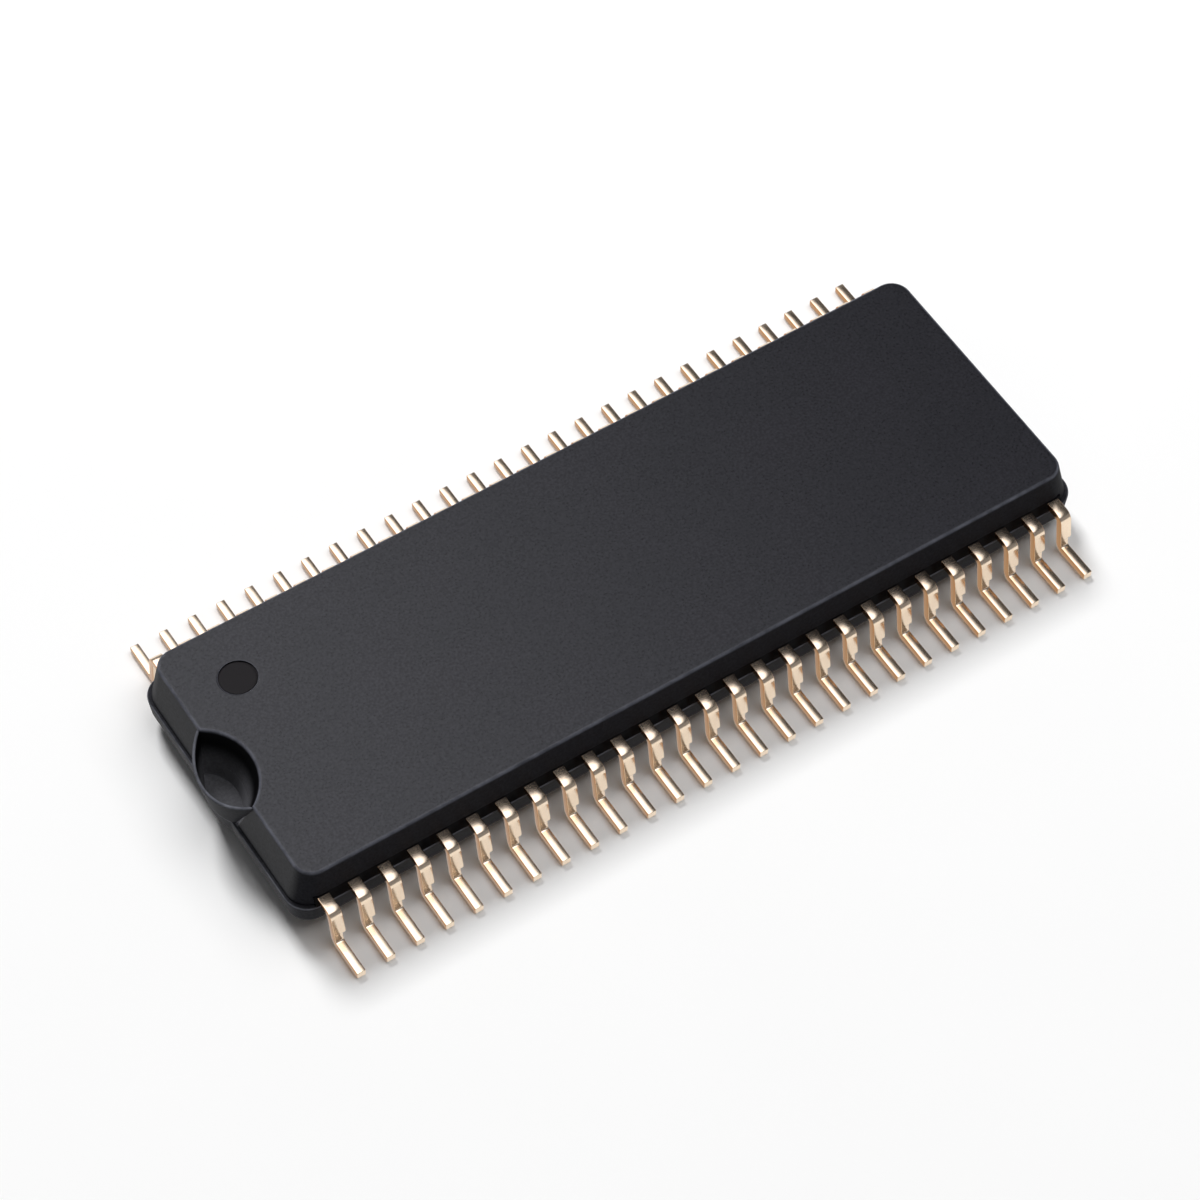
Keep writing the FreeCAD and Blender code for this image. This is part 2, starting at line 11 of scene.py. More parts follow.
import bmesh
import bpy
from bpy.types import Material, Node, NodeSocket, NodeTree, Object
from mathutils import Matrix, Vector
from mathutils.geometry import tessellate_polygon


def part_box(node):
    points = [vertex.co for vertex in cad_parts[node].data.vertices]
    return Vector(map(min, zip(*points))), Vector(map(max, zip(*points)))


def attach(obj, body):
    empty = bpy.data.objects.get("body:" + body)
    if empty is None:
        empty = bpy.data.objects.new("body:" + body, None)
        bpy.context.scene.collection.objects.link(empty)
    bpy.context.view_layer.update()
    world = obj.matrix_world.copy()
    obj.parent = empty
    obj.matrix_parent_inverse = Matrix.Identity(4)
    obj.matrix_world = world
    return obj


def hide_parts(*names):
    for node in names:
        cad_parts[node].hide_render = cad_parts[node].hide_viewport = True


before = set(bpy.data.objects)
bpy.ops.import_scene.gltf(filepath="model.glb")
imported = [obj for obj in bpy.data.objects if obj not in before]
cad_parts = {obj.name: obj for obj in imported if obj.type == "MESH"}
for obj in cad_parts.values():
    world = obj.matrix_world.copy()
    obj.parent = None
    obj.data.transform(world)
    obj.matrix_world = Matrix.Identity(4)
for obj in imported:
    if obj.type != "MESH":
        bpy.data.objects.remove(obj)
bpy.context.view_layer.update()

LOG = logging.getLogger("chip")
MM = 0.001
BODY = "root"
Pair = tuple[float, float]
Triple = tuple[float, float, float]
Colour = Triple


class Slot(Enum):
    """Material slot names of the record, not given to the pieces made here."""

    BASE = "base_ceramic"
    CAP = "cap_ceramic"
    GLASS = "seal_glass"
    LEAD = "lead_metal"


class Row(Enum):
    """The two rows of leads, by the side of the body they come out of."""

    BACK = 1
    FRONT = -1


def box_mm(node: str) -> tuple[Vector, Vector]:
    """Lowest and highest corner of a node of the frame, in millimetres."""
    low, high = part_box(node)
    return low / MM, high / MM


def arc(centre: Vector, radius: float, start: float, end: float, steps: int) -> list[Vector]:
    """Level arc with both of its ends, by its centre and its angles in radians."""
    turns = [start + (end - start) * k / steps for k in range(steps + 1)]
    return [centre + Vector((radius * math.cos(t), radius * math.sin(t), 0)) for t in turns]


def spread(first: float, last: float, steps: int) -> list[float]:
    """Evenly spaced values with both ends."""
    return [first + (last - first) * k / steps for k in range(steps + 1)]


class Skin:
    """A closed mesh in the making, from strips and filled loops that meet point on point."""

    WELD = 2e-4
    CREASE = math.radians(32)
    LARGE_FACE_WEIGHT = 100

    def __init__(self) -> None:
        """Start with no faces."""
        self.mesh = bmesh.new()
        # Per-vertex share of the painted edge colour: a painted highlight on the ceramic edges, painted
        # shade on the leads' edges.
        self.wear = self.mesh.verts.layers.float.new("wear")

    def point(self, place: Vector, wear: float = 0.0) -> bmesh.types.BMVert:
        """Add one point.

        Args:
            place: Place in millimetres.
            wear: How far the point takes the painted edge colour, a painted highlight or painted shade,
                from 0 to 1.

        Returns:
            The new vertex.
        """
        vert = self.mesh.verts.new(place * MM)
        vert[self.wear] = wear
        return vert

    def rows(
        self,
        rows: Sequence[Sequence[Vector]],
        wear: Sequence[float] | None = None,
        across: Sequence[float] | None = None,
        closed: bool = True,
    ) -> list[list[bmesh.types.BMVert]]:
        """Join each row of points to the next by quads.

        Args:
            rows: Rows with the same number of points.
            wear: Painted edge share of each row.
            across: Painted edge share of each place along a row.
            closed: True where each row is a ring.

        Returns:
            Vertices of each row.
        """
        made = []
        for r, row in enumerate(rows):
            along = wear[r] if wear else 0.0
            made.append(
                [self.point(p, max(along, across[k] if across else 0.0)) for k, p in enumerate(row)]
            )
        count = len(rows[0])
        for lower, upper in zip(made, made[1:]):
            for k in range(count if closed else count - 1):
                after = (k + 1) % count
                self.mesh.faces.new((lower[k], lower[after], upper[after], upper[k]))
        return made

    def fill(self, outline: Sequence[Vector], holes: Iterable[Sequence[Vector]] = ()) -> None:
        """Fill a flat outline, leaving its holes open.

        Args:
            outline: Points round the outside.
            holes: Points round each hole.
        """
        loops = [list(outline), *(list(hole) for hole in holes)]
        verts = [self.point(place) for loop in loops for place in loop]
        for triangle in tessellate_polygon(loops):
            self.mesh.faces.new([verts[k] for k in triangle])

    def finish(self, name: str) -> Object:
        """Weld the points and make the object.

        Args:
            name: Name of the piece.

        Returns:
            Object at the origin, in metres.
        """
        bmesh.ops.remove_doubles(self.mesh, verts=self.mesh.verts, dist=self.WELD * MM)
        bmesh.ops.recalc_face_normals(self.mesh, faces=self.mesh.faces)
        data = bpy.data.meshes.new(name)
        self.mesh.to_mesh(data)
        self.mesh.free()
        piece = bpy.data.objects.new(name, data)
        bpy.context.scene.collection.objects.link(piece)
        return piece


def smooth(piece: Object) -> None:
    """Shade a piece smooth over its roundings and flat over its large faces.

    Args:
        piece: The piece.
    """
    piece.data.shade_smooth()
    piece.data.set_sharp_from_angle(angle=Skin.CREASE)
    modifier = piece.modifiers.new("large_faces_first", "WEIGHTED_NORMAL")
    modifier.keep_sharp = True
    modifier.weight = Skin.LARGE_FACE_WEIGHT


def settle(piece: Object, finish: Material, nodes: Sequence[str] = ()) -> None:
    """Give a piece its finish and fix it to the chip.

    Args:
        piece: The piece, in place.
        finish: Its material.
        nodes: Nodes of the frame that it stands for.
    """
    piece.data.materials.clear()
    piece.data.materials.append(finish)
    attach(piece, BODY)
    if nodes:
        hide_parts(*nodes)
    LOG.info("%s: %d faces", piece.name, len(piece.data.polygons))


@dataclass(frozen=True)
class RoundedBlock:
    """Plan of a drafted block with round vertical corners."""

    half_x: float
    half_y: float
    steps: int = 10

    def corners(self, grow_x: float, grow_y: float, radius: float, level: float) -> list[list[Vector]]:
        """The four corner arcs, clockwise from the one at -X +Y.

        Args:
            grow_x: How far the end walls lie outside the plan.
            grow_y: How far the side walls lie outside the plan.
            radius: Radius of the corners.
            level: Height.

        Returns:
            Points of each arc.
        """
        x = self.half_x + grow_x - radius
        y = self.half_y + grow_y - radius
        places = [(-x, y, math.pi), (x, y, math.pi / 2), (x, -y, 0.0), (-x, -y, -math.pi / 2)]
        return [
            arc(Vector((cx, cy, level)), radius, start, start - math.pi / 2, self.steps)
            for cx, cy, start in places
        ]


@dataclass(frozen=True)
class EdgeRounding:
    """Rolling-ball rounding between a level face and a drafted wall."""

    radius: float
    draft: float
    steps: int = 6

    def profile(self, rising: bool) -> list[Triple]:
        """Points of the rounding, from the wall to the level face.

        Args:
            rising: True where the level face is above the wall.

        Returns:
            Growth outwards from the sharp edge, height above it, and painted edge share.
        """
        lean = math.radians(self.draft if rising else -self.draft)
        inner = math.pi / 2 + lean
        tangent = self.radius / math.tan(inner / 2)
        sign = 1 if rising else -1
        points = []
        for turn in spread(lean, math.pi / 2, self.steps):
            grow = -tangent + self.radius * math.cos(turn)
            height = sign * (self.radius * math.sin(turn) - self.radius)
            share = (turn - lean) / (math.pi / 2 - lean)
            points.append((grow, height, math.sin(share * math.pi)))
        return points

    def growth(self, depth: float) -> float:
        """How far a wall under the rounding lies outside the sharp edge.

        Args:
            depth: Depth below the level face.

        Returns:
            Growth, less than nothing where the rounding pulls the wall in.
        """
        lean = math.radians(self.draft)
        if depth >= self.radius * (1 - math.sin(lean)):
            return depth * math.tan(lean)
        tangent = self.radius / math.tan((math.pi / 2 + lean) / 2)
        up = self.radius - max(depth, 0.0)
        return math.sqrt(max(self.radius**2 - up**2, 0.0)) - tangent


@dataclass
class CeramicCap:
    """Upper ceramic shell with its notch, its round mark and the hollows underneath."""

    top_half_length: float = 10.80
    top_half_width: float = 3.62
    side_draft: float = 5.0
    end_draft: float = 13.5
    corner: float = 0.50
    seam_corner: float = 0.60
    edge: float = 0.09
    edge_steps: int = 8
    flat_margin: float = 0.05
    painted_edge_focus: float = 2.0
    notch_radius: float = 1.50
    notch_depth: float = 0.69
    notch_draft: float = 23.0
    notch_steps: int = 40
    mark: Vector = field(default_factory=lambda: Vector((-9.30, 2.04, 0)))
    mark_radius: float = 0.48
    mark_depth: float = 0.03
    mark_groove: float = 0.045
    mark_groove_width: float = 0.026
    mark_soft: float = 0.008
    mark_painted_edge: Pair = (0.7, 0.3)
    mark_steps: int = 72
    channel_half_length: float = 10.64
    window: Pair = (9.80, 4.70)
    recess: float = 0.40
    cutter_excess: float = 1.0

    def __post_init__(self) -> None:
        """Read the levels from the frame."""
        low, high = box_mm("ceramic_cap")
        self.bottom = low.z
        self.top = high.z
        self.roof = box_mm("seal_glass")[1].z
        self.plan = RoundedBlock(self.top_half_length, self.top_half_width)
        self.notch_x = -(self.top_half_length + self.notch_radius - self.notch_depth)

    def ring(self, depth: float, inset: float = 0.0) -> list[Vector]:
        """Outline of the block at one height, with the notch taken out of it.

        Args:
            depth: Depth below the top face.
            inset: How far the outline is drawn in.

        Returns:
            Points clockwise from the notch's +Y corner.
        """
        level = self.top - depth
        grow_x = EdgeRounding(self.edge, self.end_draft).growth(depth) - inset
        grow_y = EdgeRounding(self.edge, self.side_draft).growth(depth) - inset
        radius = self.notch_radius - EdgeRounding(self.edge, self.notch_draft).growth(depth) + inset
        half_turn = math.acos((-self.notch_x - self.top_half_length - grow_x) / radius)
        notch = arc(Vector((self.notch_x, 0, level)), radius, -half_turn, half_turn, self.notch_steps)
        share = depth / (self.top - self.bottom)
        corner = self.corner + min((grow_x + grow_y) / 2, (self.seam_corner - self.corner) * share)
        arcs = self.plan.corners(grow_x, grow_y, corner, level)
        return [*notch, *arcs[0], *arcs[1], *arcs[2], *arcs[3]]

    def mark_rings(self) -> list[Triple]:
        """Rings of the mark: rim, narrow groove and the flat disc.

        Returns:
            Radius, height below the top face and wear of each ring.
        """
        rim = self.mark_radius
        disc = rim - self.mark_groove_width
        soft = self.mark_soft
        more, less = self.mark_painted_edge
        return [
            (rim + self.flat_margin, 0.0, 0.0),
            (rim + 2 * soft, 0.0, 0.0),
            (rim + soft, soft / 4, more),
            (rim + soft / 4, soft, less),
            (rim, self.mark_groove, 0.0),
            (disc + soft / 2, self.mark_groove, 0.0),
            (disc, self.mark_depth + soft / 2, 0.0),
            (disc - soft, self.mark_depth, 0.0),
            (disc - self.flat_margin, self.mark_depth, 0.0),
        ]

    def block(self) -> Object:
        """Make the drafted block with notch and mark, closed underneath.

        Returns:
            The block.
        """
        skin = Skin()
        turns = spread(0.0, math.pi / 2, self.edge_steps)
        rings = [self.ring(self.top - self.bottom)]
        rings += [self.ring(self.edge * (1 - math.sin(turn))) for turn in turns]
        rings.append(self.ring(0.0, self.flat_margin))
        # The top edge's rounding takes the painted edge colour, a painted highlight line along the rim of
        # the top face.
        skin.rows(rings, [0.0, *(math.sin(2 * turn) ** self.painted_edge_focus for turn in turns), 0.0])
        skin.fill(rings[0])
        mark = [
            arc(self.mark + Vector((0, 0, self.top - depth)), radius, 0, math.tau, self.mark_steps)[:-1]
            for radius, depth, _ in self.mark_rings()
        ]
        skin.fill(rings[-1], [mark[0]])
        skin.rows(mark, [wear for _, _, wear in self.mark_rings()])
        skin.fill(mark[-1])
        return skin.finish("cap_shell")

    def build(self, finish: Material) -> None:
        """Make and dress the cap.

        Args:
            finish: Material of the cap.
        """
        piece = self.block()
        width = 3 * self.top_half_width
        below = self.bottom - self.cutter_excess
        cutters = [
            bar("channel_cutter", 2 * self.channel_half_length, width, below, self.roof),
            bar("recess_cutter", *self.window, below, self.roof + self.recess),
        ]
        cut(piece, cutters)
        smooth(piece)
        settle(piece, finish, ["ceramic_cap"])


def bar(name: str, length: float, width: float, bottom: float, top: float) -> Object:
    """Centred bar that cuts a hollow.

    Args:
        name: Name of the cutter.
        length: Size along X.
        width: Size along Y.
        bottom: Lower level.
        top: Upper level.

    Returns:
        The cutter.
    """
    skin = Skin()
    x, y = length / 2, width / 2
    corners = [(-x, -y), (x, -y), (x, y), (-x, y)]
    rings = [[Vector((cx, cy, level)) for cx, cy in corners] for level in (bottom, top)]
    skin.rows(rings)
    skin.fill(rings[0])
    skin.fill(rings[1])
    return skin.finish(name)


def cut(piece: Object, cutters: Sequence[Object]) -> None:
    """Take cutters out of a piece and delete them.

    Args:
        piece: The piece that is cut, left with its new mesh.
        cutters: Closed cutters.
    """
    for cutter in cutters:
        modifier = piece.modifiers.new(cutter.name, "BOOLEAN")
        modifier.operation = "DIFFERENCE"
        modifier.solver = "EXACT"
        modifier.object = cutter
    graph = bpy.context.evaluated_depsgraph_get()
    data = bpy.data.meshes.new_from_object(piece.evaluated_get(graph))
    piece.modifiers.clear()
    piece.data = data
    data.name = piece.name
    for cutter in cutters:
        bpy.data.objects.remove(cutter)


@dataclass
class CeramicBase:
    """Lower ceramic shell: slab with its ledge, and the lip that closes the notch."""

    half_length: float = 11.152
    half_width: float = 3.805
    corner: float = 0.62
    draft: float = 6.0
    bottom_edge: float = 0.08
    ledge_edge: float = 0.035
    blend: float = 0.30
    wall_levels: int = 7
    lip_x: float = -9.95
    lip_outer: float = 1.59
    lip_inner: float = 1.50
    outer_draft: float = 10.0
    inner_draft: float = 9.0
    rim_slope: float = 28.0
    rim_edge: float = 0.042
    rim_steps: int = 5
    cap_half_length: float = 10.80
    cap_draft: float = 13.5
    cap_gap: float = 0.02
    bulge_steps: int = 36
    blend_steps: int = 6
    end_passes: int = 8
    die_pocket: Triple = (8.40, 3.20, 0.30)

    def __post_init__(self) -> None:
        """Read the levels from the frame."""
        self.bottom = box_mm("ceramic_base")[0].z
        self.top = box_mm("seal_glass")[0].z
        self.rim_top = box_mm("ceramic_cap")[1].z
        self.plan = RoundedBlock(self.half_length, self.half_width)

    def outer_radius(self, level: float) -> float:
        """Radius of the lip's outside at one height."""
        return self.lip_outer - (self.rim_top - level) * math.tan(math.radians(self.outer_draft))

    def inner_radius(self, level: float) -> float:
        """Radius of the lip's inside at one height."""
        return self.lip_inner - (self.rim_top - level) * math.tan(math.radians(self.inner_draft))

    def round_lip(self, radius: float, turn: float, level: float) -> Vector:
        """Point round the lip's centre, with the turn counted from -X towards +Y."""
        return Vector((self.lip_x - radius * math.cos(turn), radius * math.sin(turn), level))

    def ring(self, grow: float, shrink: float, blend: float, level: float) -> list[Vector]:
        """Outline of the slab with the bulge of the lip at one height.

        Args:
            grow: How far the straight walls lie outside the plan.
            shrink: How far the bulge lies inside its cone.
            blend: Radius of the hollow between bulge and wall.
            level: Height.

        Returns:
            Points clockwise, starting with the bulge.
        """
        radius = self.outer_radius(level) - shrink
        wall = self.half_length + grow + self.lip_x
        turn = math.acos((wall + blend) / (radius + blend))
        turns = spread(-turn, turn, self.bulge_steps)
        bulge = [self.round_lip(radius, angle, level) for angle in turns]
        hollow = []
        for angle in spread(math.pi + turn, math.pi, self.blend_steps):
            out = wall + blend + blend * math.cos(angle)
            side = (radius + blend) * math.sin(turn) + blend * math.sin(angle)
            hollow.append(Vector((self.lip_x - out, side, level)))
        mirrored = [Vector((p.x, -p.y, p.z)) for p in reversed(hollow)]
        arcs = self.plan.corners(grow, grow, self.corner + grow, level)
        return [*bulge, *hollow, *arcs[0], *arcs[1], *arcs[2], *arcs[3], *mirrored]

    def slab_levels(self) -> list[tuple[float, float, float, float, float]]:
        """Rings of the slab's wall, from the bottom up.

        Returns:
            Growth, shrink, blend, height and painted edge share of each ring.
        """
        slope = math.tan(math.radians(self.draft))
        height = self.top - self.bottom
        lower = EdgeRounding(self.bottom_edge, -self.draft).profile(rising=False)
        upper = EdgeRounding(self.ledge_edge, -self.draft).profile(rising=True)
        rows = []
        for grow, above, wear in reversed(lower):
            level = self.bottom + above
            wall = -(self.top - level) * slope
            rows.append((grow - height * slope, level, wear, wall))
        start = rows[-1][1]
        end = self.top + upper[0][1]
        for level in spread(start, end, self.wall_levels)[1:-1]:
            wall = -(self.top - level) * slope
            rows.append((wall, level, 0.0, wall))
        for grow, above, wear in upper:
            rows.append((grow, self.top + above, wear, None))
        levels = []
        for grow, level, wear, wall in rows:
            share = (self.top - level) / height
            shrink = 0.0 if wall is None else max(wall - grow, 0.0)
            levels.append((grow, shrink, self.blend * math.sqrt(share), level, wear))
        return levels

    def rim_profile(self, turn: float) -> list[Pair]:
        """Section of the lip at one turn, from the outside's foot over the rim to the inside's foot.

        Args:
            turn: Angle round the lip's centre.

        Returns:
            Radius and height of each point.
        """
        slope = math.tan(math.radians(self.rim_slope))
        start = self.cap_half_length + self.lip_x
        corners = []
        for reach, draft in ((self.lip_outer, self.outer_draft), (self.lip_inner, self.inner_draft)):
            lean = slope * math.tan(math.radians(draft))
            radius = (reach + start * lean) / (1 + lean * math.cos(turn))
            corners.append((radius, self.rim_top - (radius * math.cos(turn) - start) * slope))
        outer_foot = (self.outer_radius(self.top), self.top)
        inner_foot = (self.inner_radius(self.top), self.top)
        path = [outer_foot, *corners, inner_foot]
        points = [outer_foot]
        for before, at, after in zip(path, path[1:], path[2:]):
            points += round_corner(before, at, after, self.rim_edge, self.rim_steps)
        return [*points, inner_foot]

    def end_turns(self) -> list[float]:
        """Where each point of the lip's section meets the cap's end wall.

        Returns:
            Turn round the lip's centre for each point.
        """
        slope = math.tan(math.radians(self.cap_draft))
        start = self.cap_half_length + self.cap_gap + self.lip_x
        turns = [math.pi / 4] * len(self.rim_profile(0.0))
        for _ in range(self.end_passes):
            places = [self.rim_profile(turn)[k] for k, turn in enumerate(turns)]
            turns = [math.acos((start + (self.rim_top - z) * slope) / r) for r, z in places]
        return turns

    def lip_columns(self, shares: Sequence[float]) -> list[list[Vector]]:
        """Sections of the lip from its -Y end to its +Y end.

        Args:
            shares: Where each section stands, from -1 to 1.

        Returns:
            Points of each section.
        """
        ends = self.end_turns()
        columns = []
        for share in shares:
            column = []
            for k, end in enumerate(ends):
                radius, level = self.rim_profile(share * end)[k]
                column.append(self.round_lip(radius, share * end, level))
            columns.append(column)
        return columns

    def rectangle(self, level: float) -> list[Vector]:
        """Outline of the die pocket at one height."""
        x, y = self.die_pocket[0] / 2, self.die_pocket[1] / 2
        return [Vector((cx, cy, level)) for cx, cy in ((-x, -y), (x, -y), (x, y), (-x, y))]

    def build(self, finish: Material) -> None:
        """Make and dress the base.

        Args:
            finish: Material of the base.
        """
        skin = Skin()
        levels = self.slab_levels()
        rings = [self.ring(grow, shrink, blend, z) for grow, shrink, blend, z, _ in levels]
        skin.rows(rings, [level[-1] for level in levels])
        skin.fill(rings[0])

        bulge = rings[-1][: self.bulge_steps + 1]
        rest = rings[-1][self.bulge_steps + 1 :]
        last = bulge[-1]
        corner_turn = math.atan2(last.y, self.lip_x - last.x)
        inner_share = corner_turn / self.end_turns()[0]
        shares = [-1.0, *spread(-inner_share, inner_share, self.bulge_steps), 1.0]
        columns = self.lip_columns(shares)
        # The lip's rounded rim takes the painted edge colour, a painted highlight along it.
        rim = [math.sin(turn) for turn in spread(0.0, math.pi, 2 * self.rim_steps + 1)]
        skin.rows(columns, across=[0.0, *rim, 0.0], closed=False)
        skin.fill(columns[0])
        skin.fill(columns[-1])

        inside = [column[-1] for column in columns]
        ledge = [last, *rest, bulge[0], columns[0][0], *inside, columns[-1][0]]
        skin.fill(without_repeats(ledge), [self.rectangle(self.top)])
        pocket = [self.rectangle(self.top), self.rectangle(self.top - self.die_pocket[2])]
        skin.rows(pocket)
        skin.fill(pocket[1])
        piece = skin.finish("base_shell")
        smooth(piece)
        settle(piece, finish, ["ceramic_base"])


def without_repeats(points: Sequence[Vector]) -> list[Vector]:
    """Leave out points that fall on the one before or on the first.

    Args:
        points: Points of a loop.

    Returns:
        The points that are left.
    """
    kept = [points[0]]
    for point in points[1:]:
        if (point - kept[-1]).length > Skin.WELD and (point - points[0]).length > Skin.WELD:
            kept.append(point)
    return kept


def round_corner(
    before: Pair, at: Pair, after: Pair, radius: float, steps: int, run_share: float = 0.45
) -> list[Pair]:
    """Arc that rounds one corner of a path.

    Args:
        before: Point before the corner.
        at: The corner.
        after: Point after the corner.
        radius: Radius, made smaller where the runs are short.
        steps: Number of chords.
        run_share: Most of a run that the arc takes up.

    Returns:
        Points of the arc.
    """
    corner = Vector(at)
    back = Vector(before) - corner
    ahead = Vector(after) - corner
    half = back.angle(ahead) / 2
    tangent = min(radius / math.tan(half), run_share * back.length, run_share * ahead.length)
    true_radius = tangent * math.tan(half)
    middle = (back.normalized() + ahead.normalized()).normalized()
    centre = corner + middle * (true_radius / math.sin(half))
    start = corner + back.normalized() * tangent - centre
    end = corner + ahead.normalized() * tangent - centre
    turn = start.angle(end)
    points = []
    for share in spread(0.0, 1.0, steps):
        first = math.sin((1 - share) * turn) / math.sin(turn)
        second = math.sin(share * turn) / math.sin(turn)
        place = centre + start * first + end * second
        points.append((place.x, place.y))
    return points


@dataclass
class FormedLead:
    """Outer part of one lead: shoulder, bend, leg, bend and the stepped foot."""

    gauge: float = 0.20
    width: float = 0.32
    foot_width: float = 0.23
    root: float = 3.60
    face: float = 4.42
    lean: float = 8.0
    bend: float = 0.26
    step_level: float = 0.42
    step_round: float = 0.028
    edge_round: float = 0.018
    least_round: float = 0.004
    bend_steps: int = 12
    round_steps: int = 3
    foot_steps: int = 4
    overlap: float = 0.02

    def __post_init__(self) -> None:
        """Read the levels from the frame and measure the path's runs."""
        high = box_mm("lead_01")[1]
        self.tip = high.y
        self.middle = high.z - self.gauge / 2
        self.turn_radius = self.bend - self.gauge / 2
        slant = math.radians(self.lean)
        self.bend_turn = math.pi / 2 - slant
        self.down = Vector((math.sin(slant), -math.cos(slant)))
        out = Vector((math.cos(slant), math.sin(slant)))
        line = Vector((self.face, self.gauge)) - out * (self.gauge / 2)
        knee_z = self.middle - self.turn_radius * (1 - out.y)
        self.knee = line + self.down * ((knee_z - line.y) / self.down.y)
        ankle_z = self.gauge / 2 + self.turn_radius * (1 - out.y)
        self.ankle = line + self.down * ((ankle_z - line.y) / self.down.y)
        self.shoulder_end = self.knee.x - self.turn_radius * out.x
        self.foot_start = self.ankle.x + self.turn_radius * out.x
        bend = self.turn_radius * self.bend_turn
        leg = (self.knee - self.ankle).length
        self.runs = [self.shoulder_end - self.root, bend, leg, bend, self.tip - self.foot_start]

    def place(self, distance: float) -> Triple:
        """Point of the middle line.

        Args:
            distance: Length along the line from the root.

        Returns:
            Distance from the body's middle plane, height, and heading below level.
        """
        shoulder, bend, leg, _, _ = self.runs
        radius = self.turn_radius
        if distance <= shoulder:
            return self.root + distance, self.middle, 0.0
        distance -= shoulder
        if distance <= bend:
            turn = distance / radius
            level = self.middle - radius * (1 - math.cos(turn))
            return self.shoulder_end + radius * math.sin(turn), level, turn
        distance -= bend
        if distance <= leg:
            place = self.knee + self.down * distance
            return place.x, place.y, self.bend_turn
        distance -= leg
        if distance <= bend:
            turn = self.bend_turn - distance / radius
            level = self.gauge / 2 + radius * (1 - math.cos(turn))
            return self.foot_start - radius * math.sin(turn), level, turn
        distance -= bend
        return self.foot_start + distance, self.gauge / 2, 0.0

    def stations(self) -> list[Triple]:
        """Where the strip's sections stand.

        Returns:
            Distance, half width on the stepped side, and inset of each section.
        """
        shoulder, quarter, leg, _, foot = self.runs
        half = self.width / 2
        narrow = self.foot_width - half
        step = shoulder + quarter + (self.knee.y - self.step_level) / -self.down.y
        end = sum(self.runs)
        found = [(self.overlap, half, 0.0)]
        found += [(d, half, 0.0) for d in spread(shoulder, shoulder + quarter, self.bend_steps)]
        for turn in spread(0, math.pi / 2, self.round_steps):
            away = self.step_round * (1 - math.cos(turn))
            found.append((step - self.step_round * (1 - math.sin(turn)), half - away, 0.0))
        for turn in spread(0, math.pi / 2, self.round_steps):
            left = self.step_round * (1 - math.sin(turn))
            found.append((step + self.step_round * (1 - math.cos(turn)), narrow + left, 0.0))
        heel = shoulder + quarter + leg
        found += [(d, narrow, 0.0) for d in spread(heel, heel + quarter, self.bend_steps)]
        found += [(d, narrow, 0.0) for d in spread(end - foot, end, self.foot_steps)[1:-1]]
        for turn in spread(0, math.pi / 2, self.round_steps):
            inset = self.edge_round * (1 - math.cos(turn))
            found.append((end - self.edge_round * (1 - math.sin(turn)), narrow, inset))
        return found

    def section(self, right: float, inset: float) -> list[Triple]:
        """Rounded rectangle across the strip.

        Args:
            right: Half width on the stepped side.
            inset: How far the section is drawn in all round.

        Returns:
            Place across, place through the gauge, and painted edge share of each point.
        """
        left = -self.width / 2 + inset
        right -= inset
        half = self.gauge / 2 - inset
        radius = max(self.edge_round - inset, self.least_round)
        centres = [
            (right - radius, half - radius, 0.0),
            (left + radius, half - radius, math.pi / 2),
            (left + radius, radius - half, math.pi),
            (right - radius, radius - half, -math.pi / 2),
        ]
        points = []
        for x, n, start in centres:
            for k, turn in enumerate(spread(start, start + math.pi / 2, self.round_steps)):
                wear = math.sin(math.pi * k / self.round_steps)
                points.append((x + radius * math.cos(turn), n + radius * math.sin(turn), wear))
        return points

    def rows(self, x: float, row: Row) -> tuple[list[list[Vector]], list[float]]:
        """Sections of the strip in place.

        Args:
            x: Middle of the lead along the body.
            row: Row that the lead stands in.

        Returns:
            Points of each section, and painted edge share round a section.
        """
        rows = []
        for distance, right, inset in self.stations():
            y, z, turn = self.place(distance)
            ring = []
            for across, through, _ in self.section(right, inset):
                side = y + through * math.sin(turn)
                ring.append(Vector((x + across, row.value * side, z + through * math.cos(turn))))
            rows.append(ring)
        return rows, [wear for _, _, wear in self.section(self.width / 2, 0.0)]


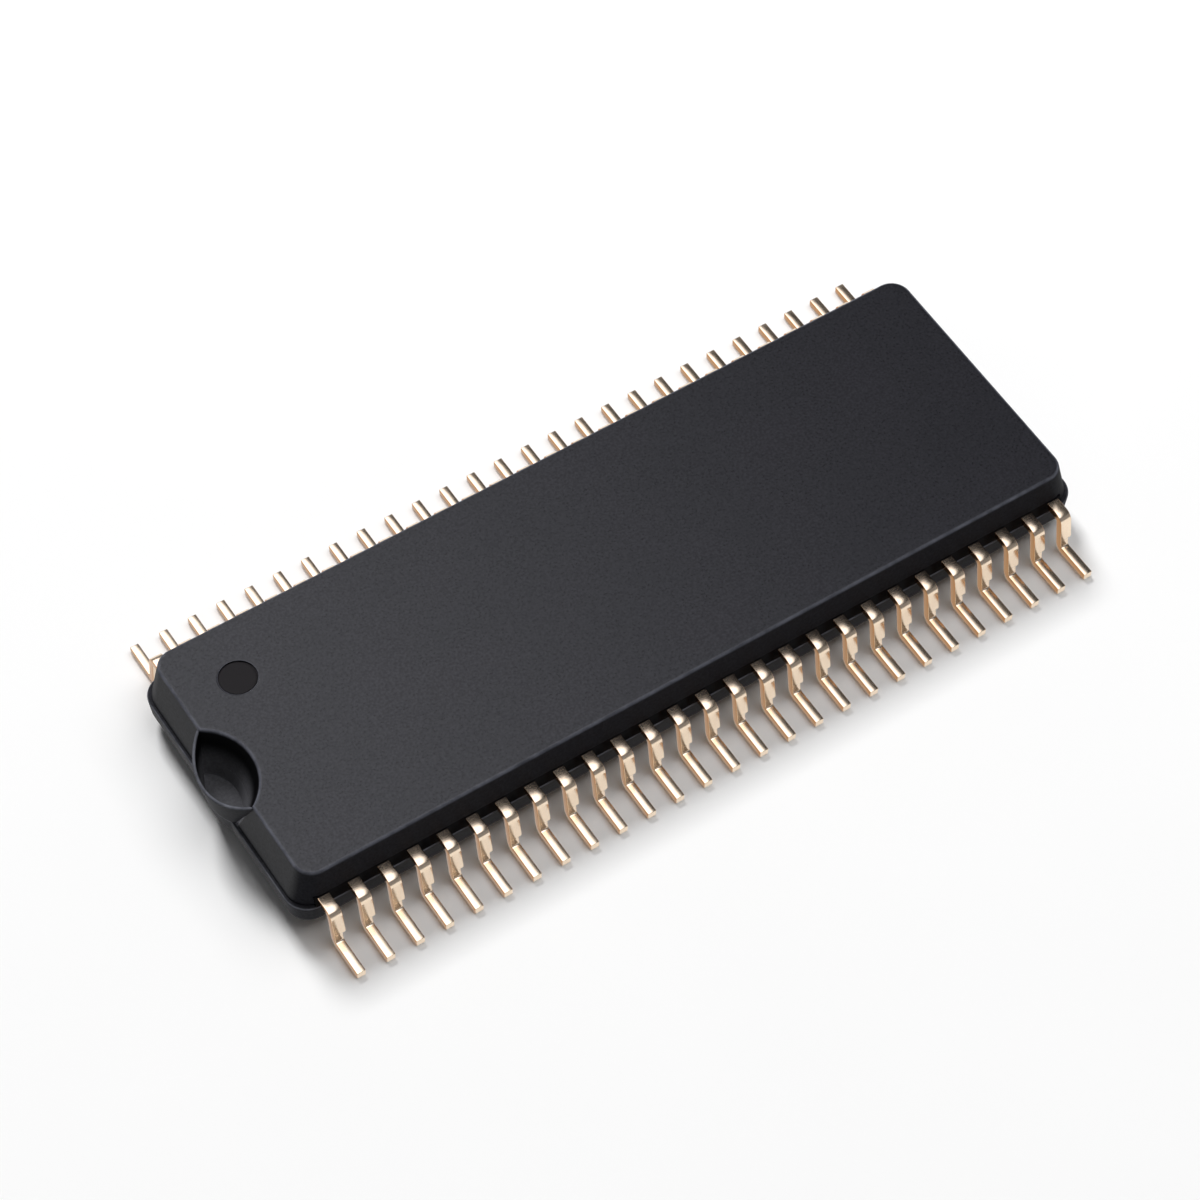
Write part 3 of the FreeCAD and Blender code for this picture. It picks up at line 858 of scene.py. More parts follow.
@dataclass
class LeadFrame:
    """Both rows of leads, each one piece from its finger under the cap to its foot."""

    leads_per_row: int = 27
    form: FormedLead = field(default_factory=FormedLead)

    def middle(self, node: str) -> float:
        """Where a lead's strip stands along the body, read from its outer side.

        Args:
            node: Name of the lead.

        Returns:
            Its middle.
        """
        low, high = box_mm(node)
        half = self.form.width / 2
        return low.x + half if low.x + high.x < 0 else high.x - half

    def finger(self, skin: Skin, node: str, row: Row) -> list[bmesh.types.BMEdge]:
        """Add the inner finger of a lead, taken from the frame and open at the root.

        Args:
            skin: Empty skin.
            node: Name of the lead.
            row: Row that the lead stands in.

        Returns:
            Edges round the open end.
        """
        mesh = skin.mesh
        mesh.from_mesh(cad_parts[node].data)
        skin.wear = mesh.verts.layers.float.get("wear") or mesh.verts.layers.float.new("wear")
        bmesh.ops.remove_doubles(mesh, verts=mesh.verts, dist=Skin.WELD * MM)
        bmesh.ops.bisect_plane(
            mesh,
            geom=[*mesh.verts, *mesh.edges, *mesh.faces],
            dist=Skin.WELD * MM,
            plane_co=(0, row.value * self.form.root * MM, 0),
            plane_no=(0, row.value, 0),
            clear_outer=True,
        )
        return [edge for edge in mesh.edges if edge.is_boundary]

    def lead(self, number: int, finish: Material) -> None:
        """Make and dress one lead.

        Args:
            number: Number of the lead, round the body from the marked corner.
            finish: Material of the leads.
        """
        node = f"lead_{number:02d}"
        row = Row.BACK if number <= self.leads_per_row else Row.FRONT
        skin = Skin()
        root = self.finger(skin, node, row)
        rings, wear = self.form.rows(self.middle(node), row)
        made = skin.rows(rings, across=wear)
        skin.mesh.faces.new(made[-1])
        first = made[0]
        mouth = [skin.mesh.edges.get((vert, first[k - 1])) for k, vert in enumerate(first)]
        bmesh.ops.bridge_loops(skin.mesh, edges=[*root, *mouth])
        piece = skin.finish(f"formed_{node}")
        smooth(piece)
        settle(piece, finish, [node])

    def build(self, finish: Material) -> None:
        """Make and dress every lead, all with the same material."""
        for number in range(1, 2 * self.leads_per_row + 1):
            self.lead(number, finish)


@dataclass
class GlassFillet:
    """Glass that was drawn out of the seam and up the leads, one bead along each row."""

    half_length: float = 10.64
    back: float = 3.645
    cap_line: float = 3.691
    ledge_line: float = 3.768
    top_gap: float = 0.002
    climb: float = 0.016
    climb_reach: float = 0.03
    climb_height: float = 0.13
    steps_per_pitch: int = 16
    rows_up: int = 8

    def __post_init__(self) -> None:
        """Read the levels and the leads' places from the frame."""
        low, high = box_mm("seal_glass")
        self.bottom = low.z
        self.top = high.z - self.top_gap
        leads = LeadFrame()
        self.width = leads.form.width
        self.middles = [leads.middle(f"lead_{n:02d}") for n in range(1, leads.leads_per_row + 1)]
        self.lead_level = leads.form.middle

    def front(self, x: float, share: float) -> float:
        """How far the glass stands out at one place.

        Args:
            x: Place along the body.
            share: 0 at the ledge and 1 at the cap.

        Returns:
            Distance from the body's middle plane.
        """
        out = self.ledge_line + (self.cap_line - self.ledge_line) * share
        nearest = min(abs(x - middle) for middle in self.middles)
        away = max(nearest - self.width / 2, 0.0) / self.climb_reach
        level = self.bottom + (self.top - self.bottom) * share
        beside = math.exp(-(((level - self.lead_level) / self.climb_height) ** 4))
        return out + self.climb * math.exp(-away) * beside

    def build(self, row: Row, finish: Material) -> None:
        """Make and dress the bead of one row.

        Args:
            row: Row of leads.
            finish: Material of the glass.
        """
        skin = Skin()
        pitch = self.middles[1] - self.middles[0]
        steps = round(2 * self.half_length / pitch * self.steps_per_pitch)
        shares = spread(0.0, 1.0, self.rows_up)
        columns = []
        for x in spread(-self.half_length, self.half_length, steps):
            column = []
            for share in shares:
                level = self.bottom + (self.top - self.bottom) * share
                column.append(Vector((x, row.value * self.front(x, share), level)))
            column += [Vector((x, row.value * self.back, z)) for z in (self.top, self.bottom)]
            columns.append(column)
        skin.rows(columns)
        skin.fill(columns[0])
        skin.fill(columns[-1])
        piece = skin.finish(f"glass_fillet_{row.name.lower()}")
        smooth(piece)
        settle(piece, finish)


@dataclass(frozen=True)
class Hollow:
    """Round hollow in the end of the chip that narrows downward by its draft."""

    x: float
    radius: float
    draft: float
    top: float = 2.12
    bottom: float = 0.94
    fade: float = 0.02


@dataclass
class Groups:
    """Effects that several materials share."""

    grain: NodeTree
    wear: NodeTree


class Board:
    """A node tree with short calls to add and join nodes."""

    def __init__(self, tree: NodeTree) -> None:
        """Take over a tree and empty it."""
        self.tree = tree
        tree.nodes.clear()

    def add(self, kind: str, settings: dict | None = None, **inputs: object) -> Node:
        """Add a node.

        Args:
            kind: Blender's name for the node, without "ShaderNode".
            settings: Values of the node's own settings.
            inputs: Values or sockets for its inputs, with _ for a space in the name.

        Returns:
            The node.
        """
        node = self.tree.nodes.new("ShaderNode" + kind)
        for name, value in (settings or {}).items():
            setattr(node, name, value)
        for name, value in inputs.items():
            self.feed(node, name.replace("_", " "), value)
        return node

    def join(self, socket: NodeSocket, value: object) -> None:
        """Set one input to a value, or link a socket to it.

        Args:
            socket: The input.
            value: Value, colour or socket.
        """
        if isinstance(value, NodeSocket):
            self.tree.links.new(value, socket)
        elif isinstance(value, tuple) and socket.type == "RGBA":
            socket.default_value = (*value, 1.0)
        else:
            socket.default_value = value

    def feed(self, node: Node, name: str, value: object) -> None:
        """Set or link the input of a node that has a name."""
        self.join(next(s for s in node.inputs if s.name == name and s.enabled), value)

    def result(self, node: Node) -> NodeSocket:
        """First output of a node that is in use."""
        return next(socket for socket in node.outputs if socket.enabled)

    def math(self, operation: str, first: object, second: object = 0.0) -> NodeSocket:
        """Result of one sum.

        Args:
            operation: Blender's name for the sum.
            first: Value or socket.
            second: Value or socket, where the sum needs two.

        Returns:
            The result.
        """
        node = self.add("Math", {"operation": operation})
        for socket, value in zip(node.inputs, (first, second)):
            self.join(socket, value)
        return node.outputs[0]

    def blend(self, share: object, low: object, high: object) -> NodeSocket:
        """Mix of two colours by a share."""
        return self.result(self.add("Mix", {"data_type": "RGBA"}, Factor=share, A=low, B=high))

    def ramp(
        self, value: object, start: float, end: float, low: float, high: float, soft: bool = False
    ) -> NodeSocket:
        """Value mapped from one range to another and held at its ends.

        Args:
            value: Value or socket.
            start: Where the value's range starts.
            end: Where the value's range ends.
            low: Result at the start.
            high: Result at the end.
            soft: True for a soft start and end.

        Returns:
            The result.
        """
        form = "SMOOTHSTEP" if soft else "LINEAR"
        node = self.add("MapRange", {"clamp": True, "interpolation_type": form}, Value=value)
        for name, number in zip(("From Min", "From Max", "To Min", "To Max"), (start, end, low, high)):
            self.feed(node, name, number)
        return node.outputs[0]

    def near(self, vector: NodeSocket, x: float, y: float) -> NodeSocket:
        """Distance in plan from one place.

        Args:
            vector: Place on the piece, in metres.
            x: Place along the body, in millimetres.
            y: Place across the body, in millimetres.

        Returns:
            Distance in millimetres.
        """
        for operation, other in (("MULTIPLY", (1 / MM, 1 / MM, 0.0)), ("DISTANCE", (x, y, 0.0))):
            node = self.add("VectorMath", {"operation": operation})
            self.join(node.inputs[0], vector)
            self.join(node.inputs[1], other)
            vector = self.result(node)
        return vector

    def inside(self, vector: NodeSocket, hollow: Hollow) -> NodeSocket:
        """Share that is 1 inside a hollow and 0 outside it.

        Args:
            vector: Place on the piece, in metres.
            hollow: The hollow.

        Returns:
            The share.
        """
        height = self.add("SeparateXYZ", Vector=vector).outputs["Z"]
        sunk = self.math("SUBTRACT", hollow.top * MM, height)
        slope = math.tan(math.radians(hollow.draft)) / MM
        reach = self.math("ADD", self.near(vector, hollow.x, 0.0), self.math("MULTIPLY", sunk, slope))
        within = self.ramp(reach, hollow.radius, hollow.radius + hollow.fade, 1.0, 0.0)
        bottom = hollow.bottom * MM
        above = self.ramp(height, bottom - hollow.fade * MM, bottom, 0.0, 1.0)
        return self.math("MULTIPLY", within, above)

    def group(self, tree: NodeTree, **inputs: object) -> Node:
        """Add a group with its own values."""
        return self.add("Group", {"node_tree": tree}, **inputs)

    def paint_edges(
        self,
        groups: Groups,
        vector: NodeSocket,
        scale: float,
        share: float,
        colour: NodeSocket,
        edge: Colour,
    ) -> NodeSocket:
        """Colour that gives way to a painted edge colour on rounded edges: a painted highlight or painted
        shade, broken up by noise.

        Args:
            groups: Shared effects.
            vector: Place on the piece.
            scale: Scale of the noise that breaks up the painted edge colour.
            share: Share of the edge colour where the painted edge share is full.
            colour: Colour of the faces.
            edge: Painted colour of the edges.

        Returns:
            The mixed colour.
        """
        wear = self.add("Attribute", {"attribute_name": "wear"}).outputs["Fac"]
        edged = self.group(groups.wear, Vector=vector, Wear=wear, Scale=scale)
        return self.blend(self.math("MULTIPLY", edged.outputs["Mask"], share), colour, edge)

    def bump(self, height: NodeSocket, strength: float, depth: float) -> NodeSocket:
        """Normal roughened by a height, with its depth in metres."""
        return self.add("Bump", Strength=strength, Distance=depth, Height=height).outputs[0]

    def close(self, shader: Node) -> None:
        """Link a material's shader to its output."""
        self.add("OutputMaterial", Surface=shader.outputs[0])

    def surface(self, **inputs: object) -> None:
        """Close a material with a surface shader that has these inputs."""
        self.close(self.add("BsdfPrincipled", **inputs))


def new_group(
    name: str, inputs: dict[str, tuple[str, float | None]], outputs: dict[str, str]
) -> tuple[NodeTree, Board, dict[str, NodeSocket], Node]:
    """Start a shader node group.

    Args:
        name: Name of the group.
        inputs: Kind of socket and default value of each input.
        outputs: Kind of socket of each output.

    Returns:
        The group, its board, its inputs by name, and the node that takes its outputs.
    """
    tree = bpy.data.node_groups.new(name, "ShaderNodeTree")
    for label, (kind, value) in inputs.items():
        socket = tree.interface.new_socket(label, in_out="INPUT", socket_type="NodeSocket" + kind)
        if value is not None:
            socket.default_value = value
    for label, kind in outputs.items():
        tree.interface.new_socket(label, in_out="OUTPUT", socket_type="NodeSocket" + kind)
    board = Board(tree)
    source = tree.nodes.new("NodeGroupInput")
    sink = tree.nodes.new("NodeGroupOutput")
    return tree, board, {s.name: s for s in source.outputs}, sink


@dataclass(frozen=True)
class SurfaceGrain:
    """Shared effect: fine tone, broad patches and a height for bump."""

    fine_detail: float = 2.0
    fine_roughness: float = 0.55
    coarse_detail: float = 1.0
    coarse_roughness: float = 0.5
    coarse_scale: float = 0.42
    coarse_height: float = 0.8
    patch_detail: float = 3.0
    patch_roughness: float = 0.6
    tone_band: Pair = (0.32, 0.68)
    patch_band: Pair = (0.3, 0.7)

    def build(self) -> NodeTree:
        """Make the node group.

        Returns:
            The group, with inputs Vector, Grain and Patches.
        """
        tree, board, given, sink = new_group(
            "surface_grain",
            {"Vector": ("Vector", None), "Grain": ("Float", 14000.0), "Patches": ("Float", 300.0)},
            {"Tone": "Float", "Patch": "Float", "Height": "Float"},
        )
        wide = board.math("MULTIPLY", given["Grain"], self.coarse_scale)
        fine, coarse, patch = (
            board.add(
                "TexNoise", Vector=given["Vector"], Scale=scale, Detail=detail, Roughness=roughness
            ).outputs[0]
            for scale, detail, roughness in (
                (given["Grain"], self.fine_detail, self.fine_roughness),
                (wide, self.coarse_detail, self.coarse_roughness),
                (given["Patches"], self.patch_detail, self.patch_roughness),
            )
        )
        height = board.math("ADD", fine, board.math("MULTIPLY", coarse, self.coarse_height))
        board.feed(sink, "Tone", board.ramp(fine, *self.tone_band, 0.0, 1.0))
        board.feed(sink, "Patch", board.ramp(patch, *self.patch_band, 0.0, 1.0))
        board.feed(sink, "Height", height)
        return tree


@dataclass(frozen=True)
class PaintedEdges:
    """Shared effect: the mesh's painted edge share, broken up by noise, which places painted highlights
    and painted shade on rounded edges.
    """

    detail: float = 3.0
    band: Pair = (0.3, 0.65)
    least: float = 0.45

    def build(self) -> NodeTree:
        """Make the node group.

        Returns:
            The group, with inputs Vector, Wear and Scale.
        """
        tree, board, given, sink = new_group(
            "painted_edges",
            {"Vector": ("Vector", None), "Wear": ("Float", 0.0), "Scale": ("Float", 2500.0)},
            {"Mask": "Float"},
        )
        noise = board.add("TexNoise", Vector=given["Vector"], Scale=given["Scale"], Detail=self.detail)
        breakup = board.ramp(noise.outputs[0], *self.band, self.least, 1.0)
        board.feed(sink, "Mask", board.math("MULTIPLY", given["Wear"], breakup))
        return tree


def new_material(name: str) -> tuple[Material, Board]:
    """Start a material.

    Args:
        name: Name of the material.

    Returns:
        The material and its empty board.
    """
    material = bpy.data.materials.new(name)
    material.use_nodes = True
    return material, Board(material.node_tree)


@dataclass(frozen=True)
class PressedCeramic:
    """Dark pressed ceramic: satin faces, dull walls, fine grain, edges painted lighter as a painted
    highlight, and painted shade and painted light inside its notch.
    """

    name: str
    dark: Colour
    light: Colour
    edge: Colour
    sheen: float
    end_sheen: float = 0.27
    wall_gloss: float = 0.045
    grain: float = 15000.0
    patches: float = 420.0
    fine_share: float = 0.8
    painted_edge_scale: float = 3000.0
    edge_share: float = 0.9
    level_band: Pair = (0.80, 0.995)
    end_band: Pair = (0.85, 0.96)
    dull_grain: float = 0.78
    roughness: Pair = (0.50, 0.62)
    sheen_roughness: float = 0.26
    bump: float = 0.45
    bump_depth: float = 0.004 * MM
    notch: Hollow | None = None
    notch_painted_shade: Colour = (0.0015, 0.0015, 0.0018)
    notch_painted_floor: Colour = (0.11, 0.11, 0.12)
    notch_grain: float = 0.7
    notch_shade_levels: Pair = (1.30, 1.80)
    mark: Triple | None = None
    mark_tone: Colour = (0.014, 0.0128, 0.0138)
    mark_sheen: float = 0.1
    mark_fade: float = 0.01

    def build(self, groups: Groups) -> Material:
        """Make the material.

        Args:
            groups: Shared effects.

        Returns:
            The material.
        """
        material, board = new_material(self.name)
        place = board.add("TexCoord")
        vector = place.outputs["Object"]
        grain = board.group(groups.grain, Vector=vector, Grain=self.grain, Patches=self.patches)
        tone = board.math("MULTIPLY", grain.outputs["Tone"], self.fine_share)
        patch = board.math("MULTIPLY", grain.outputs["Patch"], 1 - self.fine_share)
        tone = board.math("ADD", tone, patch)
        colour = board.blend(tone, self.dark, self.light)
        axes = board.add("SeparateXYZ", Vector=place.outputs["Normal"])
        level, end = (board.math("ABSOLUTE", axes.outputs[axis]) for axis in "ZX")
        level = board.ramp(level, *self.level_band, 0.0, 1.0)
        end = board.ramp(end, *self.end_band, 0.0, self.end_sheen)
        grit = board.ramp(grain.outputs["Tone"], 0.0, 1.0, self.dull_grain * self.sheen, self.sheen)
        sheen = board.math("MULTIPLY", board.math("MAXIMUM", level, end), grit)
        # Inside the notch: painted shade darkening the walls towards the top, and a painted light,
        # lighter grained floor towards the bottom.
        if self.notch:
            inside = board.inside(vector, self.notch)
            height = board.add("SeparateXYZ", Vector=vector).outputs["Z"]
            shade = board.ramp(height, *(z * MM for z in self.notch_shade_levels), 0.0, 1.0, True)
            grained = tuple(c * self.notch_grain for c in self.notch_painted_floor)
            floor = board.blend(tone, grained, self.notch_painted_floor)
            colour = board.blend(inside, colour, board.blend(shade, floor, self.notch_painted_shade))
        if self.mark:
            x, y, radius = self.mark
            rim = radius - self.mark_fade, radius + self.mark_fade
            inside = board.ramp(board.near(vector, x, y), *rim, 1.0, 0.0)
            colour = board.blend(inside, colour, self.mark_tone)
            kept = board.ramp(inside, 0.0, 1.0, 1.0, self.mark_sheen)
            sheen = board.math("MULTIPLY", sheen, kept)
        # Rounded edges take the lighter edge colour: a painted highlight line, broken up by noise.
        colour = board.paint_edges(groups, vector, self.painted_edge_scale, self.edge_share, colour, self.edge)
        board.surface(
            Base_Color=colour,
            Roughness=board.ramp(grain.outputs["Patch"], 0.0, 1.0, *self.roughness),
            Specular_IOR_Level=self.wall_gloss,
            Coat_Weight=sheen,
            Coat_Roughness=self.sheen_roughness,
            Normal=board.bump(grain.outputs["Height"], self.bump, self.bump_depth),
        )
        return material


@dataclass(frozen=True)
class SealingGlass:
    """Black sealing glass with a glossy, slightly wavy skin, painted a lighter grey inside the notch as
    painted light.
    """

    notch: Hollow
    name: str = "seal_glass_finish"
    notch_painted_film: Colour = (0.105, 0.105, 0.115)
    gloss: float = 0.03
    dark: Colour = (0.002, 0.002, 0.003)
    light: Colour = (0.006, 0.006, 0.007)
    grain: float = 5000.0
    patches: float = 1500.0
    roughness: Pair = (0.14, 0.26)
    film_roughness: float = 0.6
    bump: float = 0.25
    bump_depth: float = 0.004 * MM

    def build(self, groups: Groups) -> Material:
        """Make the material.

        Args:
            groups: Shared effects.

        Returns:
            The material.
        """
        material, board = new_material(self.name)
        vector = board.add("TexCoord").outputs["Object"]
        grain = board.group(groups.grain, Vector=vector, Grain=self.grain, Patches=self.patches)
        colour = board.blend(grain.outputs["Patch"], self.dark, self.light)
        # Inside the notch the glass is painted a lighter grey, a painted light on the notch floor.
        inside = board.inside(vector, self.notch)
        colour = board.blend(inside, colour, self.notch_painted_film)
        rough = board.ramp(grain.outputs["Patch"], 0.0, 1.0, *self.roughness)
        rough = board.math("MAXIMUM", rough, board.math("MULTIPLY", inside, self.film_roughness))
        board.surface(
            Base_Color=colour,
            Roughness=rough,
            Specular_IOR_Level=self.gloss,
            Normal=board.bump(grain.outputs["Height"], self.bump, self.bump_depth),
        )
        return material


@dataclass(frozen=True)
class LeadMetal:
    """Pale gold lead finish: satin rolled faces, with sides and rounded edges painted a darker, warmer
    gold as painted shade.
    """

    name: str = "lead_metal_finish"
    face: Colour = (0.97, 0.80, 0.62)
    face_dark: Colour = (0.92, 0.73, 0.54)
    # side and edge are painted shade: a darker, warmer gold standing in for gold mirrored in gold on the
    # sides and edges.
    side: Colour = (0.50, 0.25, 0.09)
    painted_side_band: Pair = (0.6, 0.95)
    edge: Colour = (0.52, 0.26, 0.09)
    edge_share: float = 0.8
    painted_edge_scale: float = 6000.0
    stretch: Triple = (1.0, 0.16, 0.16)
    streak_grain: float = 26000.0
    streak_patches: float = 2400.0
    streak_share: float = 0.35
    pit_grain: float = 17000.0
    pit_patches: float = 900.0
    pit_share: float = 0.45
    roughness: Pair = (0.16, 0.22)
    bump: float = 0.02
    bump_depth: float = 0.003 * MM

    def build(self, groups: Groups) -> Material:
        """Make the material.

        Args:
            groups: Shared effects.

        Returns:
            The material.
        """
        material, board = new_material(self.name)
        place = board.add("TexCoord")
        vector = place.outputs["Object"]
        drawn = board.add("Mapping", Vector=vector, Scale=self.stretch).outputs[0]
        streaks = board.group(
            groups.grain, Vector=drawn, Grain=self.streak_grain, Patches=self.streak_patches
        )
        pits = board.group(groups.grain, Vector=vector, Grain=self.pit_grain, Patches=self.pit_patches)
        mottle = board.math("MULTIPLY", pits.outputs["Tone"], self.pit_share)
        drag = board.math("MULTIPLY", streaks.outputs["Patch"], self.streak_share)
        colour = board.blend(board.math("ADD", mottle, drag), self.face, self.face_dark)
        # Faces turned along the body get the darker side colour, a painted shade.
        axes = board.add("SeparateXYZ", Vector=place.outputs["Normal"])
        painted_shade_sides = board.ramp(board.math("ABSOLUTE", axes.outputs["X"]), *self.painted_side_band, 0.0, 1.0)
        colour = board.blend(painted_shade_sides, colour, self.side)
        height = board.math("ADD", streaks.outputs["Height"], pits.outputs["Height"])
        # Rounded edges take the darker edge colour, a painted shade line.
        colour = board.paint_edges(groups, vector, self.painted_edge_scale, self.edge_share, colour, self.edge)
        board.surface(
            Base_Color=colour,
            Metallic=1.0,
            Roughness=board.ramp(streaks.outputs["Patch"], 0.0, 1.0, *self.roughness),
            Normal=board.bump(height, self.bump, self.bump_depth),
        )
        return material


@dataclass(frozen=True)
class InnerFinish:
    """Finish of a sealed inner piece: two tones of grain with their own gloss."""

    name: str
    dark: Colour
    light: Colour
    metallic: float
    roughness: Pair
    grain: float
    patch_size: float = 8.0
    bump: float = 0.15
    bump_depth: float = 0.002 * MM

    def build(self, groups: Groups) -> Material:
        """Make the material.

        Args:
            groups: Shared effects.

        Returns:
            The material.
        """
        material, board = new_material(self.name)
        vector = board.add("TexCoord").outputs["Object"]
        patches = self.grain / self.patch_size
        grain = board.group(groups.grain, Vector=vector, Grain=self.grain, Patches=patches)
        board.surface(
            Base_Color=board.blend(grain.outputs["Tone"], self.dark, self.light),
            Metallic=self.metallic,
            Roughness=board.ramp(grain.outputs["Patch"], 0.0, 1.0, *self.roughness),
            Normal=board.bump(grain.outputs["Height"], self.bump, self.bump_depth),
        )
        return material


def dress(node: str, finish: Material) -> None:
    """Give a node of the frame that is carried over its finish.

    Args:
        node: Name of the node.
        finish: Its material.
    """
    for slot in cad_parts[node].material_slots:
        slot.material = finish
    LOG.info("%s: carried over, %s", node, finish.name)


@dataclass(frozen=True)
class Studio:
    """Plain pale floor, white surroundings, soft lamps and a tent for the gloss to mirror."""

    floor_half: float = 2500.0
    floor_colour: Colour = (0.95, 0.95, 0.95)
    floor_grain: float = 120.0
    floor_tone: float = 0.99
    floor_band: Pair = (0.3, 0.7)
    floor_seen: float = 0.75
    room_light: float = 0.10
    room_seen: float = 1.0
    overhead_place: Triple = (190.0, 0.0, 450.0)
    overhead_size: Pair = (420.0, 420.0)
    overhead_power: float = 1.2
    key_place: Triple = (50.0, 400.0, 400.0)
    key_size: Pair = (150.0, 150.0)
    key_power: float = 2.65
    tent_radius: float = 700.0
    tent_rings: int = 12
    tent_sides: int = 48
    window_x: tuple[float, float, float, float] = (-1.7, -1.0, 0.24, 0.50)
    window_y: tuple[float, float, float, float] = (-1.1, -0.7, 1.1, 1.8)
    tent_dark: float = 0.04
    tent_low: float = 0.25
    tent_rise: Pair = (0.45, 0.72)
    tent_bright: float = 1.95
    tent_colour: Colour = (0.95, 0.955, 1.0)

    def room(self) -> None:
        """World: white where it is seen or mirrored, and a plain fill elsewhere."""
        world = bpy.data.worlds.new("white_room")
        bpy.context.scene.world = world
        world.use_nodes = True
        world.cycles.sampling_method = "NONE"
        board = Board(world.node_tree)
        path = board.add("LightPath")
        seen = board.math("MAXIMUM", path.outputs["Is Camera Ray"], path.outputs["Is Glossy Ray"])
        seen = board.math("MAXIMUM", seen, path.outputs["Is Transmission Ray"])
        strength = board.ramp(seen, 0.0, 1.0, self.room_light, self.room_seen)
        background = board.add("Background", Color=(1.0, 1.0, 1.0), Strength=strength)
        board.add("OutputWorld", Surface=background.outputs[0])

    def floor(self) -> None:
        """Level floor under the feet."""
        skin = Skin()
        size = self.floor_half
        corners = [(-size, -size), (size, -size), (size, size), (-size, size)]
        skin.fill([Vector((x, y, 0)) for x, y in corners])
        floor = skin.finish("floor")
        material, board = new_material("floor_paper")
        vector = board.add("TexCoord").outputs["Object"]
        noise = board.add("TexNoise", Vector=vector, Scale=self.floor_grain, Detail=2.0)
        tone = board.ramp(noise.outputs[0], *self.floor_band, 0.0, 1.0)
        pale = tuple(c * self.floor_tone for c in self.floor_colour)
        paper = board.add("BsdfDiffuse", Color=board.blend(tone, pale, self.floor_colour))
        white = board.add("Emission", Color=self.floor_colour, Strength=1.0)
        mirrored = board.add("LightPath").outputs["Is Glossy Ray"]
        shader = board.add("MixShader", Fac=board.math("MULTIPLY", mirrored, self.floor_seen))
        board.join(shader.inputs[1], paper.outputs[0])
        board.join(shader.inputs[2], white.outputs[0])
        board.close(shader)
        floor.data.materials.append(material)

    def lamp(self, name: str, place: Triple, size: Pair, power: float) -> None:
        """Rectangular soft lamp that points at the chip and that no gloss mirrors.

        Args:
            name: Name of the lamp.
            place: Where it stands.
            size: Its two sides.
            power: Its power in watts.
        """
        data = bpy.data.lights.new(name, "AREA")
        data.shape = "RECTANGLE"
        data.size = size[0] * MM
        data.size_y = size[1] * MM
        data.energy = power
        lamp = bpy.data.objects.new(name, data)
        lamp.location = Vector(place) * MM
        lamp.rotation_mode = "QUATERNION"
        lamp.rotation_quaternion = (-Vector(place)).to_track_quat("-Z", "Y")
        lamp.visible_glossy = False
        bpy.context.scene.collection.objects.link(lamp)

    def tent(self) -> None:
        """Dark tent with one soft bright window overhead, which only reflections see."""
        skin = Skin()
        rings = []
        for rise in spread(0.0, math.pi / 2, self.tent_rings)[:-1]:
            centre = Vector((0, 0, self.tent_radius * math.sin(rise)))
            reach = self.tent_radius * math.cos(rise)
            rings.append(arc(centre, reach, 0, math.tau, self.tent_sides)[:-1])
        skin.rows(rings)
        skin.fill(rings[-1])
        tent = skin.finish("reflection_tent")
        material, board = new_material("tent_cloth")
        axes = board.add("SeparateXYZ", Vector=board.add("TexCoord").outputs["Object"])
        height = board.math("MAXIMUM", axes.outputs["Z"], MM)
        window = 1.0
        for axis, (start, full, fade, end) in (("X", self.window_x), ("Y", self.window_y)):
            slant = board.math("DIVIDE", axes.outputs[axis], height)
            window = board.math("MULTIPLY", board.ramp(slant, start, full, 0.0, 1.0, True), window)
            window = board.math("MULTIPLY", board.ramp(slant, fade, end, 1.0, 0.0, True), window)
        start, end = (share * self.tent_radius * MM for share in self.tent_rise)
        dark = board.ramp(axes.outputs["Z"], start, end, self.tent_low, self.tent_dark, True)
        strength = board.ramp(window, 0.0, 1.0, dark, self.tent_bright)
        board.close(board.add("Emission", Color=self.tent_colour, Strength=strength))
        tent.data.materials.append(material)
        for ray in ("camera", "diffuse", "transmission", "shadow", "volume_scatter"):
            setattr(tent, "visible_" + ray, False)

    def build(self) -> None:
        """Set up the room, the floor, the tent and the lamps."""
        self.room()
        self.floor()
        self.tent()
        self.lamp("overhead_softbox", self.overhead_place, self.overhead_size, self.overhead_power)
        self.lamp("key_lamp", self.key_place, self.key_size, self.key_power)
        LOG.info("studio ready")


@dataclass(frozen=True)
class Viewpoint:
    """Camera at the photograph's viewing angle."""

    aim: Triple = (-0.565, -0.179, 1.21)
    azimuth: float = -32.68
    elevation: float = 55.34
    distance: float = 99.08
    lens: float = 122.86
    sensor: float = 36.0

    def build(self) -> None:
        """Make the camera and set it as the scene's camera."""
        data = bpy.data.cameras.new("camera")
        data.lens = self.lens
        data.sensor_width = self.sensor
        data.clip_start = MM
        camera = bpy.data.objects.new("camera", data)
        turn, rise = math.radians(self.azimuth), math.radians(self.elevation)
        away = Vector((math.sin(turn) * math.cos(rise), -math.cos(turn) * math.cos(rise), math.sin(rise)))
        camera.location = (Vector(self.aim) + away * self.distance) * MM
        camera.rotation_mode = "QUATERNION"
        camera.rotation_quaternion = (-away).to_track_quat("-Z", "Y")
        bpy.context.scene.collection.objects.link(camera)
        bpy.context.scene.camera = camera


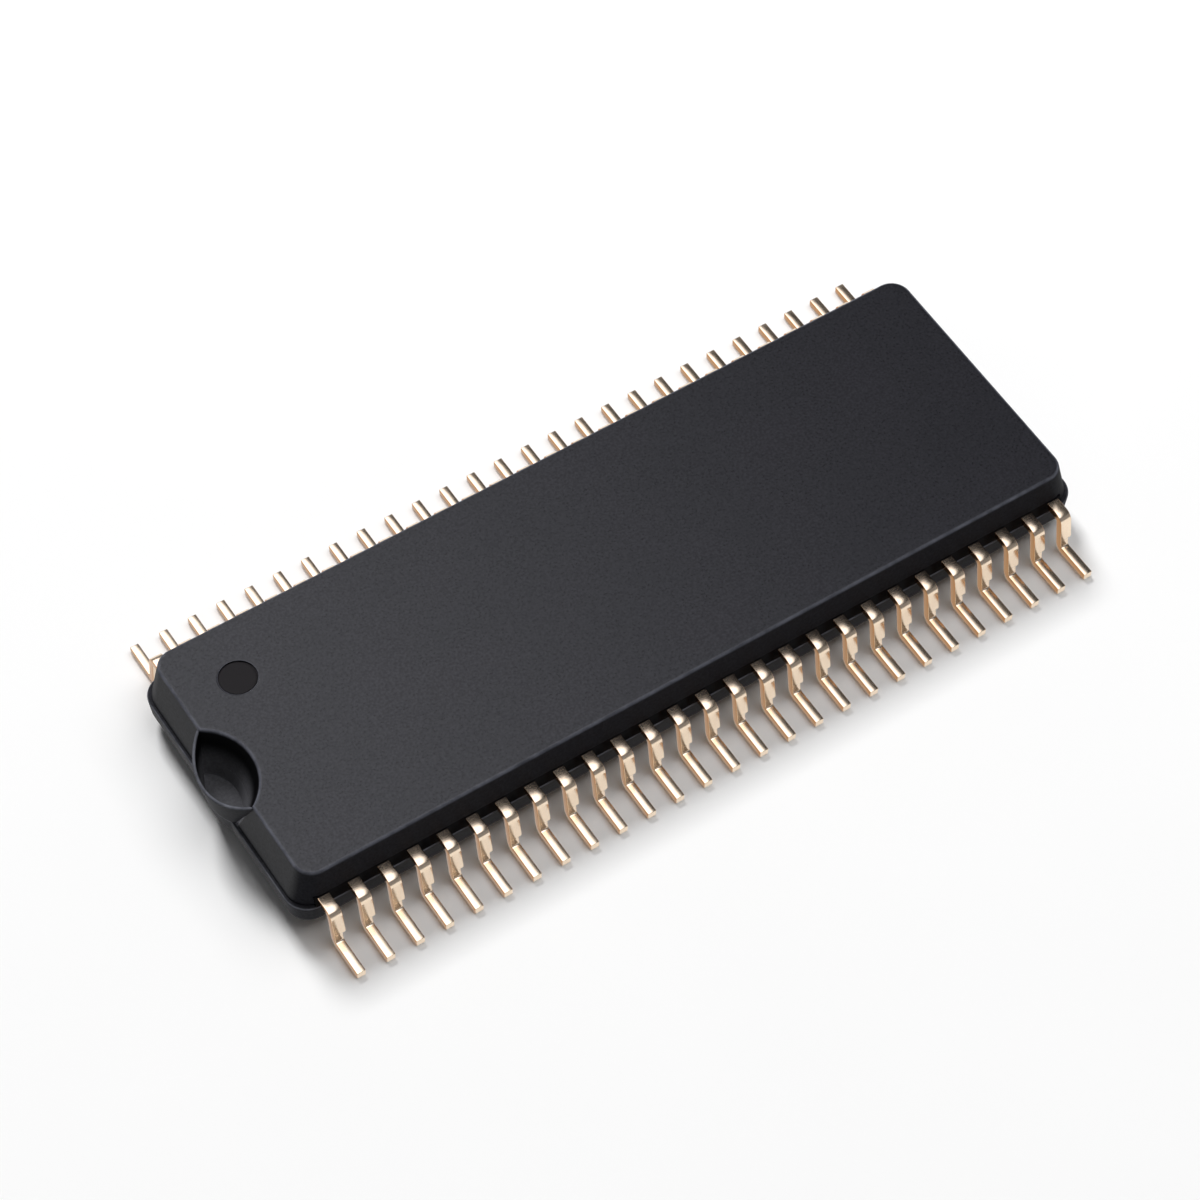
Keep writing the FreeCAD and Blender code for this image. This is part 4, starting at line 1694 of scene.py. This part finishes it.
def main() -> None:
    """Build the studio, the camera and every piece of the chip, in order."""
    bpy.context.scene.view_settings.view_transform = "Standard"
    Viewpoint().build()
    Studio().build()
    groups = Groups(SurfaceGrain().build(), PaintedEdges().build())

    cap = CeramicCap()
    base = CeramicBase()
    margin = 0.01
    notch = Hollow(cap.notch_x, cap.notch_radius + margin, cap.notch_draft)
    cap_finish = PressedCeramic(
        "cap_ceramic_finish",
        dark=(0.0045, 0.0045, 0.0065),
        light=(0.0125, 0.0125, 0.0165),
        # edge is a painted highlight on the cap's rounded edges.
        edge=(0.14, 0.145, 0.175),
        sheen=0.9,
        # The notch brings painted shade on its walls and a painted light floor.
        notch=notch,
        mark=(cap.mark.x, cap.mark.y, cap.mark_radius),
    )
    base_finish = PressedCeramic(
        "base_ceramic_finish",
        dark=(0.012, 0.012, 0.0145),
        light=(0.026, 0.026, 0.031),
        # edge is a painted highlight on the base's rounded edges.
        edge=(0.15, 0.155, 0.18),
        sheen=0.10,
        # The base's notch gets the same painted shade on the lip's inner wall and a painted light floor.
        notch=Hollow(base.lip_x, base.lip_inner + margin, base.inner_draft),
        notch_painted_floor=(0.07, 0.07, 0.077),
    )
    glass = SealingGlass(notch).build(groups)
    cap.build(cap_finish.build(groups))
    base.build(base_finish.build(groups))
    dress("seal_glass", glass)
    for row in Row:
        GlassFillet().build(row, glass)
    LeadFrame().build(LeadMetal().build(groups))

    silicon = InnerFinish(
        "silicon_finish",
        dark=(0.05, 0.06, 0.09),
        light=(0.10, 0.11, 0.15),
        metallic=0.6,
        roughness=(0.15, 0.3),
        grain=4000.0,
    )
    adhesive = InnerFinish(
        "adhesive_finish",
        dark=(0.45, 0.43, 0.40),
        light=(0.62, 0.60, 0.56),
        metallic=0.7,
        roughness=(0.4, 0.6),
        grain=20000.0,
    )
    wire = InnerFinish(
        "wire_finish",
        dark=(0.74, 0.75, 0.77),
        light=(0.86, 0.87, 0.89),
        metallic=1.0,
        roughness=(0.2, 0.3),
        grain=30000.0,
    )
    for node, finish in (("silicon_die", silicon), ("die_attach", adhesive), ("bond_wires", wire)):
        dress(node, finish.build(groups))


if __name__ == "__main__":
    logging.basicConfig(level=logging.INFO)
    main()
